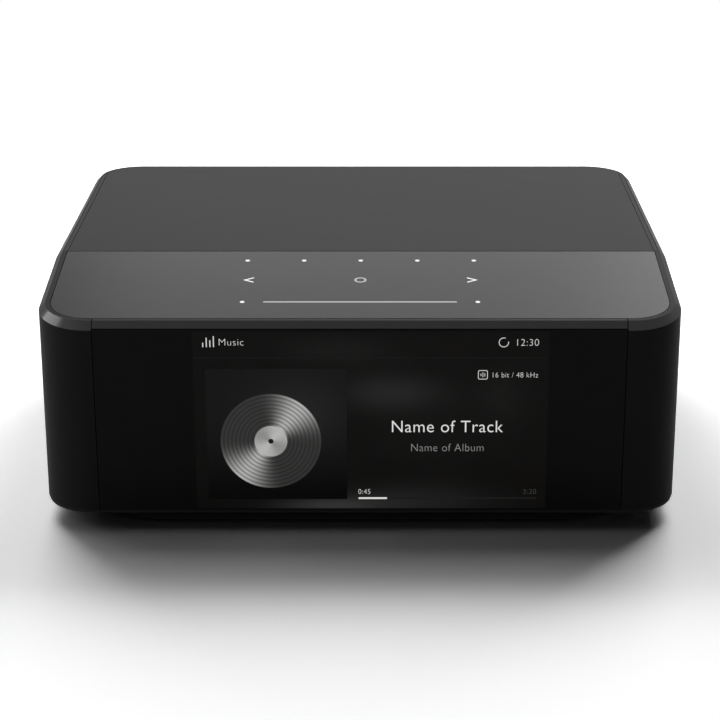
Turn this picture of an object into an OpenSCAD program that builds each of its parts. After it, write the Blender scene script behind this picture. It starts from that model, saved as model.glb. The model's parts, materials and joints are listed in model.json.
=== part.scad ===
// Network music streamer: a half-width desktop player with a sloping touch top,
// a full-height display behind black glass, and its sockets in a recessed rear panel.
// Millimetres. X runs to the right seen from the front, Y to the back, Z up.
// The origin is on the table, under the middle of the footprint.

/* [Casing] */
// Width of the casing, side to side
body_w = 220; // [214:1:260]
// Depth of the casing, front glass to rear edge
body_d = 190.5; // [184:0.5:230]
// Height from the table to the top cover
body_h = 83.5; // [80:0.5:100]
// Plan radius of the four upright corners
corner_r = 18; // [14:0.5:19]
// Front width of each cast side cheek
cheek_w = 20; // [19.5:0.5:24]
// Wall of the side cheeks
wall_t = 3; // [2.6:0.1:4]
// Width of the chamfer round the top rim
rim_w = 2.2; // [1.2:0.1:2.3]
// Drop of the chamfer round the top rim
rim_drop = 2.2; // [1.5:0.1:3.5]
// Gap at the upright seams beside the front glass
seam_gap = 0.25; // [0.2:0.05:1]

/* [Touch section] */
// Depth of the sloping touch section
touch_d = 60; // [56:1:70]
// Fall of the touch section from its back to its front edge
touch_fall = 7.8; // [4:0.1:9]
// Thickness of the top cover, and depth of the pocket for the touch glass
top_t = 2.2; // [1.8:0.1:2.6]
// Flat ledge between the rim chamfer and the touch glass, at the sides
ledge_side = 1.7; // [0.6:0.1:2]
// The same ledge at the front
ledge_front = 1.6; // [1.2:0.1:3]
// Gap round the touch glass
touch_gap = 0.2; // [0.2:0.05:0.6]
// Gap round the top cover
cover_gap = 0.2; // [0.1:0.05:0.4]
// Adhesive film under the touch glass
bond_t = 0.1; // [0.05:0.05:0.3]
// Width of the shelf inside the cheeks that carries the top pieces
shelf_w = 4; // [3:0.5:6]
// Thickness of that shelf
shelf_t = 3; // [2:0.5:4]

/* [Front] */
// Thickness of the front glass
glass_t = 2.5; // [2:0.1:3]
// Width of the display cell
display_w = 122; // [110:1:130]
// Offset of the display to the right of the middle
display_x = 3.8; // [0:0.1:6]
// Room above and below the display cell
display_margin = 0.5; // [0.3:0.1:2]
// Thickness of the display cell
cell_t = 1.6; // [1:0.1:3]
// Thickness of the foam gasket round the display
gasket_t = 0.5; // [0.3:0.1:1]
// Depth of the backlight tray
tray_t = 2.5; // [2:0.1:4]
// Sheet of the display bracket
bracket_t = 1.2; // [0.8:0.1:2]
// Depth of the foot and the top bar behind the bracket
trim_back = 5; // [4:0.5:8]

/* [Base] */
// Height of the casing's underside above the table
base_h = 8; // [6:0.5:12]
// Inset of the plinth from the casing
base_inset = 7.5; // [5:0.5:12]
// Plan radius of the plinth's corners
base_r = 36; // [15:1:40]
// Height of the plinth's flange under the casing
sole_h = 1.3; // [1:0.1:2.5]
// Inset of that flange from the casing
sole_inset = 0.4; // [0.2:0.1:2]
// Thickness of the rubber pad
pad_t = 1; // [0.8:0.1:2]
// Inset of the pad from the plinth
pad_inset = 4; // [2:0.5:10]
// Wall and floor of the plinth tray
plinth_t = 2; // [1.5:0.1:3]
// Sheet of the bottom plate
bottom_t = 1.5; // [1:0.1:2]

/* [Rear panel] */
// Depth of the recess that the sockets sit in
rear_recess = 6; // [5:0.5:9]
// Sheet of the rear panel
panel_t = 1.5; // [1:0.1:2]
// How far the phono jacks reach past the casing
jack_proud = 2.5; // [1:0.5:6]
// Height of the upper row of sockets
upper_z = 53; // [50:0.5:56]
// Clearance round each socket in its cut-out
cut_gap = 0.3; // [0.2:0.05:0.6]
// How far the board sockets stand out of the panel
nose_proud = 0.8; // [0.4:0.1:2]

/* [Sockets] */
// Radius of the bore for a large headphone plug
headphone_r = 3.25; // [3.2:0.01:3.4]
// Distance of the headphone jacks behind the front
headphone_back = 45; // [40:1:50]
// Height of the headphone jacks
headphone_z = 32; // [26:1:40]
// Radius of the bore for a small plug
mini_r = 1.8; // [1.76:0.01:1.9]
// Distance between the small jacks
mini_pitch = 14; // [11:0.5:15]
// Outer radius of a phono barrel
phono_r = 4.15; // [4:0.05:4.3]
// Distance between the phono jacks
phono_pitch = 16; // [14:0.5:17]
// Distance between the balanced sockets
balanced_pitch = 28; // [27:0.5:29]
// Inner radius of a balanced socket
balanced_r = 9.5; // [9:0.1:10]
// Width and height of the optical socket's opening
optical_bore = 9.4; // [8.6:0.1:10]

/* [Boards] */
// Thickness of the circuit boards
board_t = 1.6; // [1.2:0.1:2]
// Height of the short standoffs
standoff_h = 6; // [5:0.5:7]
// Radius of the standoffs and spacers
standoff_r = 2.75; // [2.5:0.05:3]
// Depth of the main and power boards
board_d = 124; // [115:1:126]
// Depth of the audio board
audio_d = 60; // [52:1:66]
// Number of fins on the heat sink
fin_count = 9; // [5:1:12]

/* [Hidden] */
$fn = 64;
overall_d = body_d + jack_proud;
y_front = -overall_d / 2;
y_back = y_front + body_d;
y_kink = y_front + touch_d;
slope_a = atan(touch_fall / touch_d);
touch_len = touch_d / cos(slope_a);
seam_x = body_w / 2 - cheek_w;
panel_x = seam_x - seam_gap / 2;
cheek_x = seam_x + seam_gap / 2;
rim_land = 0.1;
// The slab that cuts the rim runs past the chamfer to this many times its size
rim_reach = 2;
cut = 1;

// Pocket of the touch glass, in the frame of the slope
pocket_x = body_w / 2 - rim_w - ledge_side;
pocket_y = -touch_len + rim_w + ledge_front;
pocket_r = corner_r - rim_w - ledge_side;

// Heights in the base and the front
floor_z = base_h + bottom_t;
glass_top = body_h - touch_fall - rim_drop;
trim_z = glass_top + seam_gap / 2;
display_z = floor_z + display_margin;
display_h = glass_top - seam_gap / 2 - display_margin - display_z;

// The stack behind the front glass, from front to back
gasket_y = y_front + glass_t;
cell_y = gasket_y + gasket_t;
tray_y = cell_y + cell_t;
bracket_y = tray_y + tray_t;
stack_y = bracket_y + bracket_t;

// Posts inside the cheeks
post_r = 4;
post_sunk = 0.6;
post_x = body_w / 2 - wall_t - post_r + post_sunk;
post_ys = [y_front + corner_r + post_r, y_back - corner_r - post_r];
screw_r = 1.5;
screw_gap = 0.2;
screw_reach = 10;
head_r = 2.6;
head_t = 1.5;
jamb_t = 2.5;
flange_h = 12;

// Socket bodies: width, depth, height
network_size = [16, 21, 13.5];
network_hole = [11.8, 14, 7];
mains_size = [23, 24, 16];
mains_pitch = 8.6;
mains_hole_r = 4.2;
mains_hole_d = 16;
mains_pin_r = 1.2;
av_size = [15, 12, 5.8];
av_wall = 0.6;
data_size = [13.4, 14, 6];
data_wall = 0.45;
data_small_size = [9.6, 9, 3.9];
data_small_wall = 0.6;
port_back = 1;
mini_size = [8, 14, 7];
mini_nose_r = 3;
socket_block = 13;
optical_size = [13, 14.5, socket_block];
optical_hole_d = 13;
balanced_flange = [26, 2, 31];
balanced_barrel_r = 11.8;
balanced_barrel_d = 16;
balanced_hole_d = 14;
balanced_pin_r = 1.2;
balanced_pin_ring = 5;
balanced_screw = [9.5, 12.5];
phono_block_d = 13;
phono_wall = 0.75;
phono_edge = 7;
phono_collar_r = 5.4;
phono_collar_t = 1.5;
phono_core_gap = 0.1;
phono_pin_r = 1.75;
phono_len = rear_recess + jack_proud;

// Rear sockets, from right to left seen from the front, the lower row with even gaps
balanced_in = 20;
upper_gap = 6;
mini_in = 14;
mains_in = 22;
balanced_xs = [for (i = [0 : 1]) seam_x - balanced_in - i * balanced_pitch];
phono_right = balanced_xs[1] - balanced_flange[0] / 2 - upper_gap;
phono_xs = [for (i = [0 : 3]) phono_right - phono_edge - i * phono_pitch];
optical_x = phono_xs[3] - phono_edge - upper_gap - optical_size[0] / 2;
mini_xs = [for (i = [0 : 2]) seam_x - mini_in - i * mini_pitch];
mini_left = mini_xs[2] - mini_size[0] / 2;
mains_x = -seam_x + mains_in;
mains_right = mains_x + mains_size[0] / 2;
lower_ws = [av_size[0], data_size[0], data_small_size[0], network_size[0]];
lower_gap = (mini_left - mains_right - lower_ws * [1, 1, 1, 1]) / (len(lower_ws) + 1);
av_x = mini_left - lower_gap - av_size[0] / 2;
data_large_x = av_x - (av_size[0] + data_size[0]) / 2 - lower_gap;
data_small_x = data_large_x - (data_size[0] + data_small_size[0]) / 2 - lower_gap;
network_x = data_small_x - (data_small_size[0] + network_size[0]) / 2 - lower_gap;

// Rear panel and boards
panel_y = y_back - rear_recess;
panel_in = panel_y - panel_t;
panel_cover = 3;
panel_lap = jamb_t + panel_cover;
panel_gap = 0.3;
panel_top = body_h - top_t - shelf_t - panel_gap;
lip_h = 8;
nose_y = panel_y + nose_proud;
board_back = 2;
board_gap = 1;
main_over = 6;
power_over = 7;
audio_over = 2;
optical_over = 5;
board_y = panel_in - board_back;
front_y = board_y - board_d;
main_z = floor_z + standoff_h + board_t;
main_x0 = mains_right + (lower_gap + board_gap) / 2;
main_x1 = seam_x + main_over;
power_x0 = -seam_x - power_over;
power_x1 = main_x0 - board_gap;
audio_z = upper_z - socket_block / 2;
audio_x0 = optical_x - optical_size[0] / 2 - optical_over;
audio_x1 = seam_x + audio_over;
audio_y = board_y - audio_d;
hole_in = 4;

// Screws at the corners of the rear panel, in tabs of the bottom plate and the top cover
corner_in = 5;
corner_drop = 13;
corner_xs = [-seam_x + corner_in, seam_x - corner_in];
corner_zs = [floor_z + corner_in, body_h - corner_drop];
tab_w = 8;
tab_t = 2;

// Shutter of the optical socket
shutter_pin_r = 0.5;
shutter_pin_in = 1;
shutter_knuckle_r = 0.6;
shutter_fit = 0.05;
shutter_gap = 0.3;
shutter_t = 0.8;
shutter_back = 4.2;
shutter_drop = 0.9;
shutter_y = nose_y - shutter_back;
shutter_z = upper_z + optical_bore / 2 - shutter_drop;

// Headphone jacks
headphone_y = y_front + headphone_back;
headphone_body = [18, 16, 15];
bush_r = 5;
bush_gap = 0.3;
ring_r = 6.5;
ring_t = 1;
headphone_depth = 17;

// Shapes that several pieces share

module rounded_rect(x0, y0, x1, y1, r) {
    translate([x0 + r, y0]) square([x1 - x0 - 2 * r, y1 - y0]);
    translate([x0, y0 + r]) square([x1 - x0, y1 - y0 - 2 * r]);
    for (x = [x0 + r, x1 - r], y = [y0 + r, y1 - r]) translate([x, y]) circle(r);
}

// Plan of the casing, drawn in by an inset
module casing_plan(inset) {
    x = body_w / 2 - inset;
    rounded_rect(-x, y_front + inset, x, y_back - inset, corner_r - inset);
}

module casing_prism(inset) {
    translate([0, 0, base_h - cut]) linear_extrude(body_h) casing_plan(inset);
}

// Frame of the touch section: origin on the kink line, Y up the slope, Z square to it
module on_slope() {
    translate([0, y_kink, body_h]) rotate([slope_a, 0, 0]) children();
}

// Everything below the flat top and the slope, both lowered by a depth
module under_top(depth) {
    reach = body_w + body_d;
    intersection() {
        translate([-reach / 2, -reach / 2, body_h - depth - reach]) cube(reach);
        on_slope() translate([-reach / 2, -reach / 2, -depth - reach]) cube(reach);
    }
}

// Slab whose sides run out downwards at the slope of the rim chamfer, with round corners
module rim_slab(y0, y1) {
    reach = rim_reach * rim_drop;
    run = rim_reach * rim_w;
    flat_x = body_w / 2 - corner_r;
    x = body_w / 2 - rim_w;
    rotate([90, 0, 90]) linear_extrude(2 * flat_x, center = true)
        polygon([[y0 + rim_w, 0], [y0 + rim_w - run, -reach],
            [y1 - rim_w + run, -reach], [y1 - rim_w, 0]]);
    translate([0, y1 - corner_r, 0]) rotate([90, 0, 0])
        linear_extrude(y1 - y0 - 2 * corner_r)
            polygon([[-x, 0], [-x - run, -reach], [x + run, -reach], [x, 0]]);
    for (x = [-flat_x, flat_x], y = [y0 + corner_r, y1 - corner_r])
        translate([x, y, -reach])
            cylinder(h = reach, r1 = corner_r - rim_w + run, r2 = corner_r - rim_w);
}

// What the chamfer and the tops take away, in the frame of one top
module rim_waste(y0, y1) {
    side = 2 * body_w;
    difference() {
        translate([-side / 2, y0 - body_d, -(1 + rim_reach) / 2 * rim_drop])
            cube([side, y1 - y0 + 2 * body_d, body_h]);
        rim_slab(y0, y1);
    }
}

// Outside of the casing: upright walls, flat top, slope and the chamfer round both
module casing_envelope() {
    difference() {
        translate([0, 0, base_h]) linear_extrude(body_h - base_h) casing_plan(0);
        translate([0, 0, body_h]) rim_waste(y_front, y_back);
        on_slope() rim_waste(-touch_len, 2 * body_d);
    }
}

// Outline of the touch glass or its pocket: round at the front, square at the kink
module touch_outline(gap) {
    x = pocket_x - gap;
    r = pocket_r - gap;
    y = pocket_y + gap;
    translate([-x, y + r]) square([2 * x, -y - r - gap]);
    translate([-x + r, y]) square([2 * (x - r), r + cut]);
    for (side = [-1, 1]) translate([side * (x - r), y + r]) circle(r);
}

module glass_pocket() {
    on_slope() translate([0, 0, -top_t]) linear_extrude(body_h) touch_outline(0);
}

module cover_plan(gap) {
    intersection() {
        casing_plan(rim_w + rim_land + gap);
        translate([-body_w, y_kink + gap]) square([2 * body_w, body_d]);
    }
}

module cover_pocket() {
    translate([0, 0, body_h - top_t]) linear_extrude(body_h) cover_plan(0);
}

// A box standing on z0, with its rear face at y1 and its middle at x
module block(x, y1, z0, size) {
    translate([x - size[0] / 2, y1 - size[1], z0]) cube(size);
}

// A cylinder along Y whose rear end is at y1
module rod_y(x, y1, z, r, len) {
    translate([x, y1, z]) rotate([90, 0, 0]) cylinder(r = r, h = len);
}

// A shape drawn as X and Z, pushed forward from y1
module push_y(y1, len) {
    translate([0, y1, 0]) rotate([90, 0, 0]) linear_extrude(len) children();
}

// A flat cable: a strip along points of Y and Z, mitred at its bends, of a width in X
module flat_cable(points, t, x, w) {
    side = [for (i = [0 : len(points) - 1]) mitre(points, i) * t / 2];
    back = [for (i = [len(points) - 1 : -1 : 0]) points[i] - side[i]];
    translate([x - w / 2, 0, 0]) rotate([90, 0, 90]) linear_extrude(w)
        polygon(concat(points + side, back));
}

// Unit vector square to the way from one point to the next
function square_to(a, b) = [a[1] - b[1], b[0] - a[0]] / norm(b - a);

// Way from a point of a bent strip to its edge, for a half thickness of 1
function mitre(points, i) = let (
    last = len(points) - 1,
    before = square_to(points[max(i, 1) - 1], points[max(i, 1)]),
    after = square_to(points[min(i, last - 1)], points[min(i, last - 1) + 1])
) (before + after) / (1 + before * after);

// Slot with round ends, as X and Z
module stadium(w, h) {
    square([w - h, h], center = true);
    for (side = [-1, 1]) translate([side * (w - h) / 2, 0]) circle(h / 2);
}

// Opening with its lower corners cut off, as X and Z
module cut_corner_rect(w, h, c) {
    polygon([[-w / 2, h / 2], [w / 2, h / 2], [w / 2, -h / 2 + c], [w / 2 - c, -h / 2],
        [-w / 2 + c, -h / 2], [-w / 2, -h / 2 + c]]);
}

// Casing

module cheek() {
    difference() {
        intersection() {
            casing_envelope();
            translate([cheek_x, y_front, base_h]) cube([cheek_w, body_d, body_h]);
        }
        intersection() {
            casing_prism(wall_t);
            under_top(top_t + shelf_t);
        }
        casing_prism(wall_t + shelf_w);
        cover_pocket();
        glass_pocket();
        translate([body_w / 2 - wall_t - cut, headphone_y, headphone_z])
            rotate([0, 90, 0]) cylinder(r = bush_r + bush_gap, h = wall_t + 2 * cut);
        translate([body_w / 2 - ring_t - bush_gap, headphone_y, headphone_z])
            rotate([0, 90, 0]) cylinder(r = ring_r + bush_gap, h = wall_t);
    }
    intersection() {
        union() {
            for (y = post_ys) translate([post_x, y, floor_z]) cheek_post();
            translate([cheek_x, panel_y, floor_z])
                cube([jamb_t, rear_recess - wall_t / 2, body_h]);
        }
        under_top(top_t + shelf_t / 2);
    }
}

// Post for a casing screw, with its pilot hole
module cheek_post() {
    difference() {
        cylinder(r = post_r, h = body_h);
        translate([0, 0, -cut]) cylinder(r = screw_r + screw_gap, h = screw_reach + 2 * cut);
    }
}

module side_cheek_right() {
    color("#1c1c1d") cheek();
}

module side_cheek_left() {
    color("#1c1c1d") mirror([1, 0, 0]) cheek();
}

// Bar between the seams: chamfered nose, floor of the glass pocket, flange behind the display
module front_trim() {
    depth = stack_y - y_front + trim_back;
    lug_w = 5;
    color("#29292a") difference() {
        union() {
            intersection() {
                casing_envelope();
                translate([-panel_x, y_front, trim_z]) cube([2 * panel_x, depth, body_h]);
            }
            translate([-panel_x, stack_y, trim_z - flange_h])
                cube([2 * panel_x, trim_back, flange_h + cut]);
            for (side = [-1, 1]) translate([side * panel_x - lug_w, stack_y, trim_z - flange_h])
                cube([2 * lug_w, trim_back, flange_h]);
        }
        glass_pocket();
    }
}

module front_glass() {
    color("#0a0a0b") translate([-panel_x, y_front, base_h])
        cube([2 * panel_x, glass_t, glass_top - seam_gap / 2 - base_h]);
}

module touch_glass() {
    color("#333334") on_slope() translate([0, 0, -top_t + bond_t])
        linear_extrude(top_t - bond_t) touch_outline(touch_gap);
}

// Flat panel with a rear lip between the seams, and two tabs for the rear panel's screws
module top_cover() {
    color("#2c2c2d") {
        translate([0, 0, body_h - top_t]) linear_extrude(top_t) cover_plan(cover_gap);
        intersection() {
            casing_envelope();
            translate([-panel_x, y_back - wall_t, body_h - lip_h])
                cube([2 * panel_x, wall_t, lip_h]);
        }
        for (x = corner_xs) difference() {
            block(x, panel_in, corner_zs[1] - tab_w / 2,
                [tab_w, tab_t, body_h - top_t / 2 - corner_zs[1] + tab_w / 2]);
            rod_y(x, panel_in + cut, corner_zs[1], screw_r, tab_t + 2 * cut);
        }
    }
}

// Beam under the joint of touch glass and top cover, lugged under the shelves of the cheeks
module cross_bar() {
    ahead = 4;
    behind = 8;
    deep = shelf_t + 3;
    inner = body_w / 2 - wall_t - shelf_w - cover_gap;
    outer = body_w / 2 - wall_t - panel_gap;
    color("#3c3d3f") difference() {
        intersection() {
            translate([-outer, y_kink - ahead, 0]) cube([2 * outer, ahead + behind, body_h]);
            under_top(top_t);
        }
        under_top(top_t + deep);
        for (side = [-1, 1]) difference() {
            translate([side * (inner + cheek_w / 2) - cheek_w / 2, y_kink - body_d / 2, 0])
                cube([cheek_w, body_d, 2 * body_h]);
            under_top(top_t + shelf_t);
        }
    }
}

module plinth_plan(inset) {
    x = body_w / 2 - inset;
    rounded_rect(-x, y_front + inset, x, y_back - inset, base_r - inset + base_inset);
}

// Tray under the casing, open to the bottom plate, with a flange as wide as the casing
module plinth() {
    color("#0b0b0c") difference() {
        union() {
            translate([0, 0, pad_t]) linear_extrude(base_h - pad_t) plinth_plan(base_inset);
            translate([0, 0, base_h - sole_h]) linear_extrude(sole_h) casing_plan(sole_inset);
        }
        translate([0, 0, pad_t + plinth_t]) linear_extrude(base_h)
            plinth_plan(base_inset + plinth_t);
    }
}

module base_pad() {
    color("#161616") linear_extrude(pad_t) plinth_plan(base_inset + pad_inset);
}

// Sheet with countersunk holes under the posts and two tabs behind the rear panel
module bottom_plate() {
    edge = 0.2;
    color("#48494b") {
        difference() {
            translate([0, 0, base_h]) linear_extrude(bottom_t) {
                casing_plan(wall_t + edge);
                translate([-panel_x, 0]) square([2 * panel_x, y_back - seam_gap]);
            }
            for (side = [-1, 1], y = post_ys) translate([side * post_x, y, base_h]) {
                translate([0, 0, -cut]) cylinder(r = screw_r + screw_gap, h = bottom_t + 2 * cut);
                translate([0, 0, -0.01]) cylinder(r1 = 2 * screw_r + screw_gap,
                    r2 = screw_r + screw_gap, h = screw_r);
            }
        }
        for (x = corner_xs) difference() {
            block(x, panel_in, base_h + bottom_t / 2,
                [tab_w, tab_t, bottom_t / 2 + corner_in + tab_w / 2]);
            rod_y(x, panel_in + cut, corner_zs[0], screw_r, tab_t + 2 * cut);
        }
    }
}

module rear_panel() {
    x = seam_x + panel_lap;
    color("#1b1b1c") difference() {
        translate([-x, panel_in, floor_z]) cube([2 * x, panel_t, panel_top - floor_z]);
        push_y(panel_y + cut, panel_t + 2 * cut) panel_cuts();
    }
}

// Cut-outs of the rear panel, as X and Z
module panel_cuts() {
    g = 2 * cut_gap;
    for (x = balanced_xs) translate([x, upper_z]) circle(balanced_barrel_r + cut_gap);
    for (x = balanced_xs, s = [-1, 1])
        translate([x + s * balanced_screw[0], upper_z + s * balanced_screw[1]]) circle(screw_r);
    for (x = phono_xs) translate([x, upper_z]) circle(phono_r + cut_gap);
    for (x = phono_screw_xs()) translate([x, upper_z]) circle(screw_r + screw_gap);
    for (x = corner_xs, z = corner_zs) translate([x, z]) circle(screw_r + screw_gap);
    translate([optical_x, upper_z])
        square([optical_size[0] + g, optical_size[2] + g], center = true);
    for (x = mini_xs) translate([x, main_z + mini_size[2] / 2]) circle(mini_nose_r + cut_gap);
    translate([av_x, av_z()]) square([av_size[0] + g, av_size[2] + g], center = true);
    translate([data_large_x, data_large_z()])
        square([data_size[0] + g, data_size[2] + g], center = true);
    translate([data_small_x, data_small_z()])
        stadium(data_small_size[0] + g, data_small_size[2] + g);
    translate([network_x, main_z + network_size[2] / 2])
        square([network_size[0] + g, network_size[2] + g], center = true);
    translate([mains_x, main_z + mains_size[2] / 2])
        square([mains_size[0] + g, mains_size[2] + g], center = true);
}

function phono_screw_xs() = [for (i = [0, 2]) (phono_xs[i] + phono_xs[i + 1]) / 2];
function av_z() = main_z + av_size[2] / 2;
function data_large_z() = main_z + data_size[2] / 2;
function data_small_z() = main_z + data_small_size[2] / 2;

// Display

module display_rect(y, t, margin) {
    translate([display_x - display_w / 2 + margin, y, display_z + margin])
        cube([display_w - 2 * margin, t, display_h - 2 * margin]);
}

module display_gasket() {
    border = 1.5;
    color("#101010") difference() {
        display_rect(gasket_y, gasket_t, 0);
        display_rect(gasket_y - cut, gasket_t + 2 * cut, border);
    }
}

module display_cell() {
    color("#15171a") display_rect(cell_y, cell_t, 0);
}

tray_sheet = 1;

// Folded tray: a rim round a thinner floor
module display_tray() {
    rim = 2;
    color("#8f9194") difference() {
        display_rect(tray_y, tray_t, 0);
        display_rect(tray_y + tray_sheet, tray_t, rim);
    }
}

// Upright sheet with two windows and a foot folded back along the bottom plate
module display_bracket() {
    margin = 8;
    bar = 10;
    x = seam_x - 1;
    h = glass_top - seam_gap - floor_z;
    window_w = (display_w - 2 * margin - bar) / 2;
    color("#7b7d80") {
        difference() {
            translate([-x, bracket_y, floor_z]) cube([2 * x, bracket_t, h]);
            for (side = [-1, 1]) translate([display_x + side * (window_w + bar) / 2 - window_w / 2,
                bracket_y - cut, floor_z + margin])
                cube([window_w, bracket_t + 2 * cut, h - 3 * margin]);
        }
        translate([-x, bracket_y, floor_z]) cube([2 * x, bracket_t + trim_back, bracket_t]);
    }
}

// Foam blocks that back the glass beside the display
module glass_pads() {
    w = 8;
    margin = 8;
    color("#202020") for (side = [-1, 1])
        translate([side * (panel_x - w) - w / 2, gasket_y, display_z + margin])
            cube([w, bracket_y - gasket_y, display_h - 2 * margin]);
}

ribbon_t = 0.3;
ribbon_w = 16;
touch_ribbon_w = 10;
plug_h = 2.4;
plug_d = 5;
display_plug_x = 20;
touch_plug_x = 50;
plug_y = front_y + 8;

module display_ribbon() {
    tail_up = 22;
    tail_back = 6;
    tail_z = display_z + tail_up;
    level = stack_y + trim_back + tail_back;
    lead = 4;
    plug_z = main_z + plug_h / 2;
    color("#b7772f") flat_cable([[tray_y + tray_sheet, tail_z], [level, tail_z],
        [front_y - lead, plug_z], [plug_y - plug_d, plug_z]], ribbon_t, display_plug_x, ribbon_w);
}

// Touch section, under the glass

touch_board_t = 1.2;
guide_t = 1.5;
touch_board_y0 = -touch_len + stack_y - y_front + trim_back + 2;

touch_board_w = 100;
touch_board_back = 5;
guide_edge = 3;

// A plate on the underside of the touch section, drawn in from the outline of its board
module under_touch(top, t, edge) {
    on_slope() translate([-touch_board_w / 2 + edge, touch_board_y0 + edge, -top - t])
        cube([touch_board_w - 2 * edge, -touch_board_back - touch_board_y0 - 2 * edge, t]);
}

module touch_board() {
    color("#1f4a2c") under_touch(top_t, touch_board_t, 0);
}

module light_guide() {
    color("#e6e8ea") under_touch(top_t + touch_board_t, guide_t, guide_edge);
}

function slope_point(y, z) = [y_kink + y * cos(slope_a) - z * sin(slope_a),
    body_h + y * sin(slope_a) + z * cos(slope_a)];

module touch_ribbon() {
    tail = touch_board_back + 1.5;
    fall = [1, -10];
    loop = [14, 12];
    lead = 10;
    top = slope_point(-tail, -top_t - touch_board_t - ribbon_t);
    plug_z = main_z + plug_h / 2;
    color("#b7772f") flat_cable([top, top + fall, [plug_y - loop[0], main_z + loop[1]],
        [plug_y - lead, plug_z], [plug_y - plug_d, plug_z]], ribbon_t, touch_plug_x, touch_ribbon_w);
}

// Main board

main_hole_back = 24;
far_hole_back = 34;
audio_hole_in = 6;

// Four points at the given X and Y
function corners(xs, ys) = [for (x = xs, y = ys) [x, y]];
main_screws = corners([main_x0 + hole_in, main_x1 - hole_in],
    [front_y + hole_in, board_y - main_hole_back]);
audio_screws = corners([main_x0 + hole_in, main_x1 - 2 * hole_in],
    [audio_y + audio_hole_in, board_y - far_hole_back]);
power_screws = corners([power_x0 + hole_in, power_x1 - hole_in],
    [front_y + hole_in, board_y - far_hole_back]);

module drilled_board(x0, y0, x1, y1, z, holes) {
    difference() {
        translate([x0, y0, z - board_t]) cube([x1 - x0, y1 - y0, board_t]);
        for (p = holes) translate([p[0], p[1], z - board_t - cut])
            cylinder(r = screw_r + screw_gap, h = board_t + 2 * cut);
    }
}

module standoffs(points, z0, h) {
    for (p = points) translate([p[0], p[1], z0]) difference() {
        cylinder(r = standoff_r, h = h);
        translate([0, 0, -cut]) cylinder(r = screw_r, h = h + 2 * cut);
    }
}

module main_board() {
    color("#16331f") drilled_board(main_x0, front_y, main_x1, board_y, main_z, main_screws);
}

module main_standoffs() {
    color("#b9954a") standoffs(main_screws, floor_z, standoff_h);
}

processor_back = 46;
processor_off = 6;
processor_x = (main_x0 + main_x1) / 2 - processor_off;
processor_at = [processor_x, front_y + processor_back];
processor_size = [22, 22, 2];
sink_size = [44, 44];
sink_base = 3;
fin_h = 10;
fin_t = 1.4;

module processor() {
    color("#1a1a1c") translate([processor_at[0], processor_at[1], main_z + processor_size[2] / 2])
        cube(processor_size, center = true);
}

// Finned block on the processor
module heat_sink() {
    pitch = (sink_size[0] - fin_t) / (fin_count - 1);
    color("#9a9c9f") translate([processor_at[0] - sink_size[0] / 2,
        processor_at[1] - sink_size[1] / 2, main_z + processor_size[2]]) {
        cube([sink_size[0], sink_size[1], sink_base]);
        for (i = [0 : fin_count - 1]) translate([i * pitch, 0, sink_base / 2])
            cube([fin_t, sink_size[1], fin_h + sink_base / 2]);
    }
}

// Memory beside the processor, a switch near the network jack and a row behind the ports
module board_chips() {
    memory = [10, 8, 1.2];
    memory_pitch = 14;
    memory_back = 12;
    switch = [12, 12, 1.4];
    switch_in = 28;
    driver = [7, 7, 1.2];
    driver_pitch = 12;
    driver_in = 23;
    color("#1a1a1c") {
        for (side = [-1, 1]) block(processor_x + side * memory_pitch / 2,
            front_y + memory_back + memory[1], main_z, memory);
        block(network_x + switch[0] / 2, board_y - switch_in, main_z, switch);
        for (i = [0 : 2]) block(data_large_x + i * driver_pitch, board_y - driver_in, main_z, driver);
    }
}

module board_connectors() {
    color("#d9d4c6") for (x = [display_plug_x, touch_plug_x])
        block(x, plug_y, main_z, [ribbon_w + 3, plug_d, plug_h]);
}

// Screened radio board with its lid
module radio_module() {
    card = [30, 22, 1];
    lid = [27, 19, 2.7];
    margin = 27;
    back = 40;
    color("#b4b7ba") {
        block(main_x1 - margin, front_y + back, main_z, card);
        block(main_x1 - margin, front_y + back - (card[1] - lid[1]) / 2, main_z + card[2] / 2, lid);
    }
}

// Antenna strips on the inner side of the display bracket
module antenna_boards() {
    w = 12;
    t = 0.8;
    lift = 16;
    margin = 2;
    color("#23402d") for (side = [-1, 1])
        translate([side * (panel_x - w) - w / 2, stack_y, floor_z + lift])
            cube([w, t, trim_z - flange_h - floor_z - lift - margin]);
}

// Audio board

balanced_back = balanced_barrel_d + panel_t;

module audio_board() {
    room = 2;
    notch_x = balanced_xs[1] - balanced_barrel_r - room;
    notch_y = panel_y - balanced_back - room / 2;
    color("#16331f") difference() {
        drilled_board(audio_x0, audio_y, audio_x1, board_y, audio_z, audio_screws);
        translate([notch_x, notch_y, audio_z - board_t - cut])
            cube([body_w, body_d, board_t + 2 * cut]);
    }
}

module audio_spacers() {
    color("#b9954a") standoffs(audio_screws, main_z, audio_z - board_t - main_z);
}

// Converter and a row of line amplifiers
module audio_chips() {
    converter = [12, 12, 1.4];
    amplifier = [6, 5, 1.6];
    pitch = 11;
    back = 26;
    color("#1a1a1c") {
        block(processor_x, audio_y + back, audio_z, converter);
        for (i = [1 : 4]) block(processor_x + converter[0] / 2 + i * pitch - amplifier[0] / 2,
            audio_y + back, audio_z, amplifier);
    }
}

module audio_capacitors() {
    r = 3.1;
    h = 11;
    pitch = 7.2;
    row_pitch = 12;
    margin = 8;
    left = main_x0 + hole_in + margin;
    color("#2b3a52") for (i = [0 : 5], j = [0 : 1])
        translate([left + i * pitch, audio_y + margin + j * row_pitch, audio_z]) cylinder(r = r, h = h);
}

// Power supply

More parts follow.
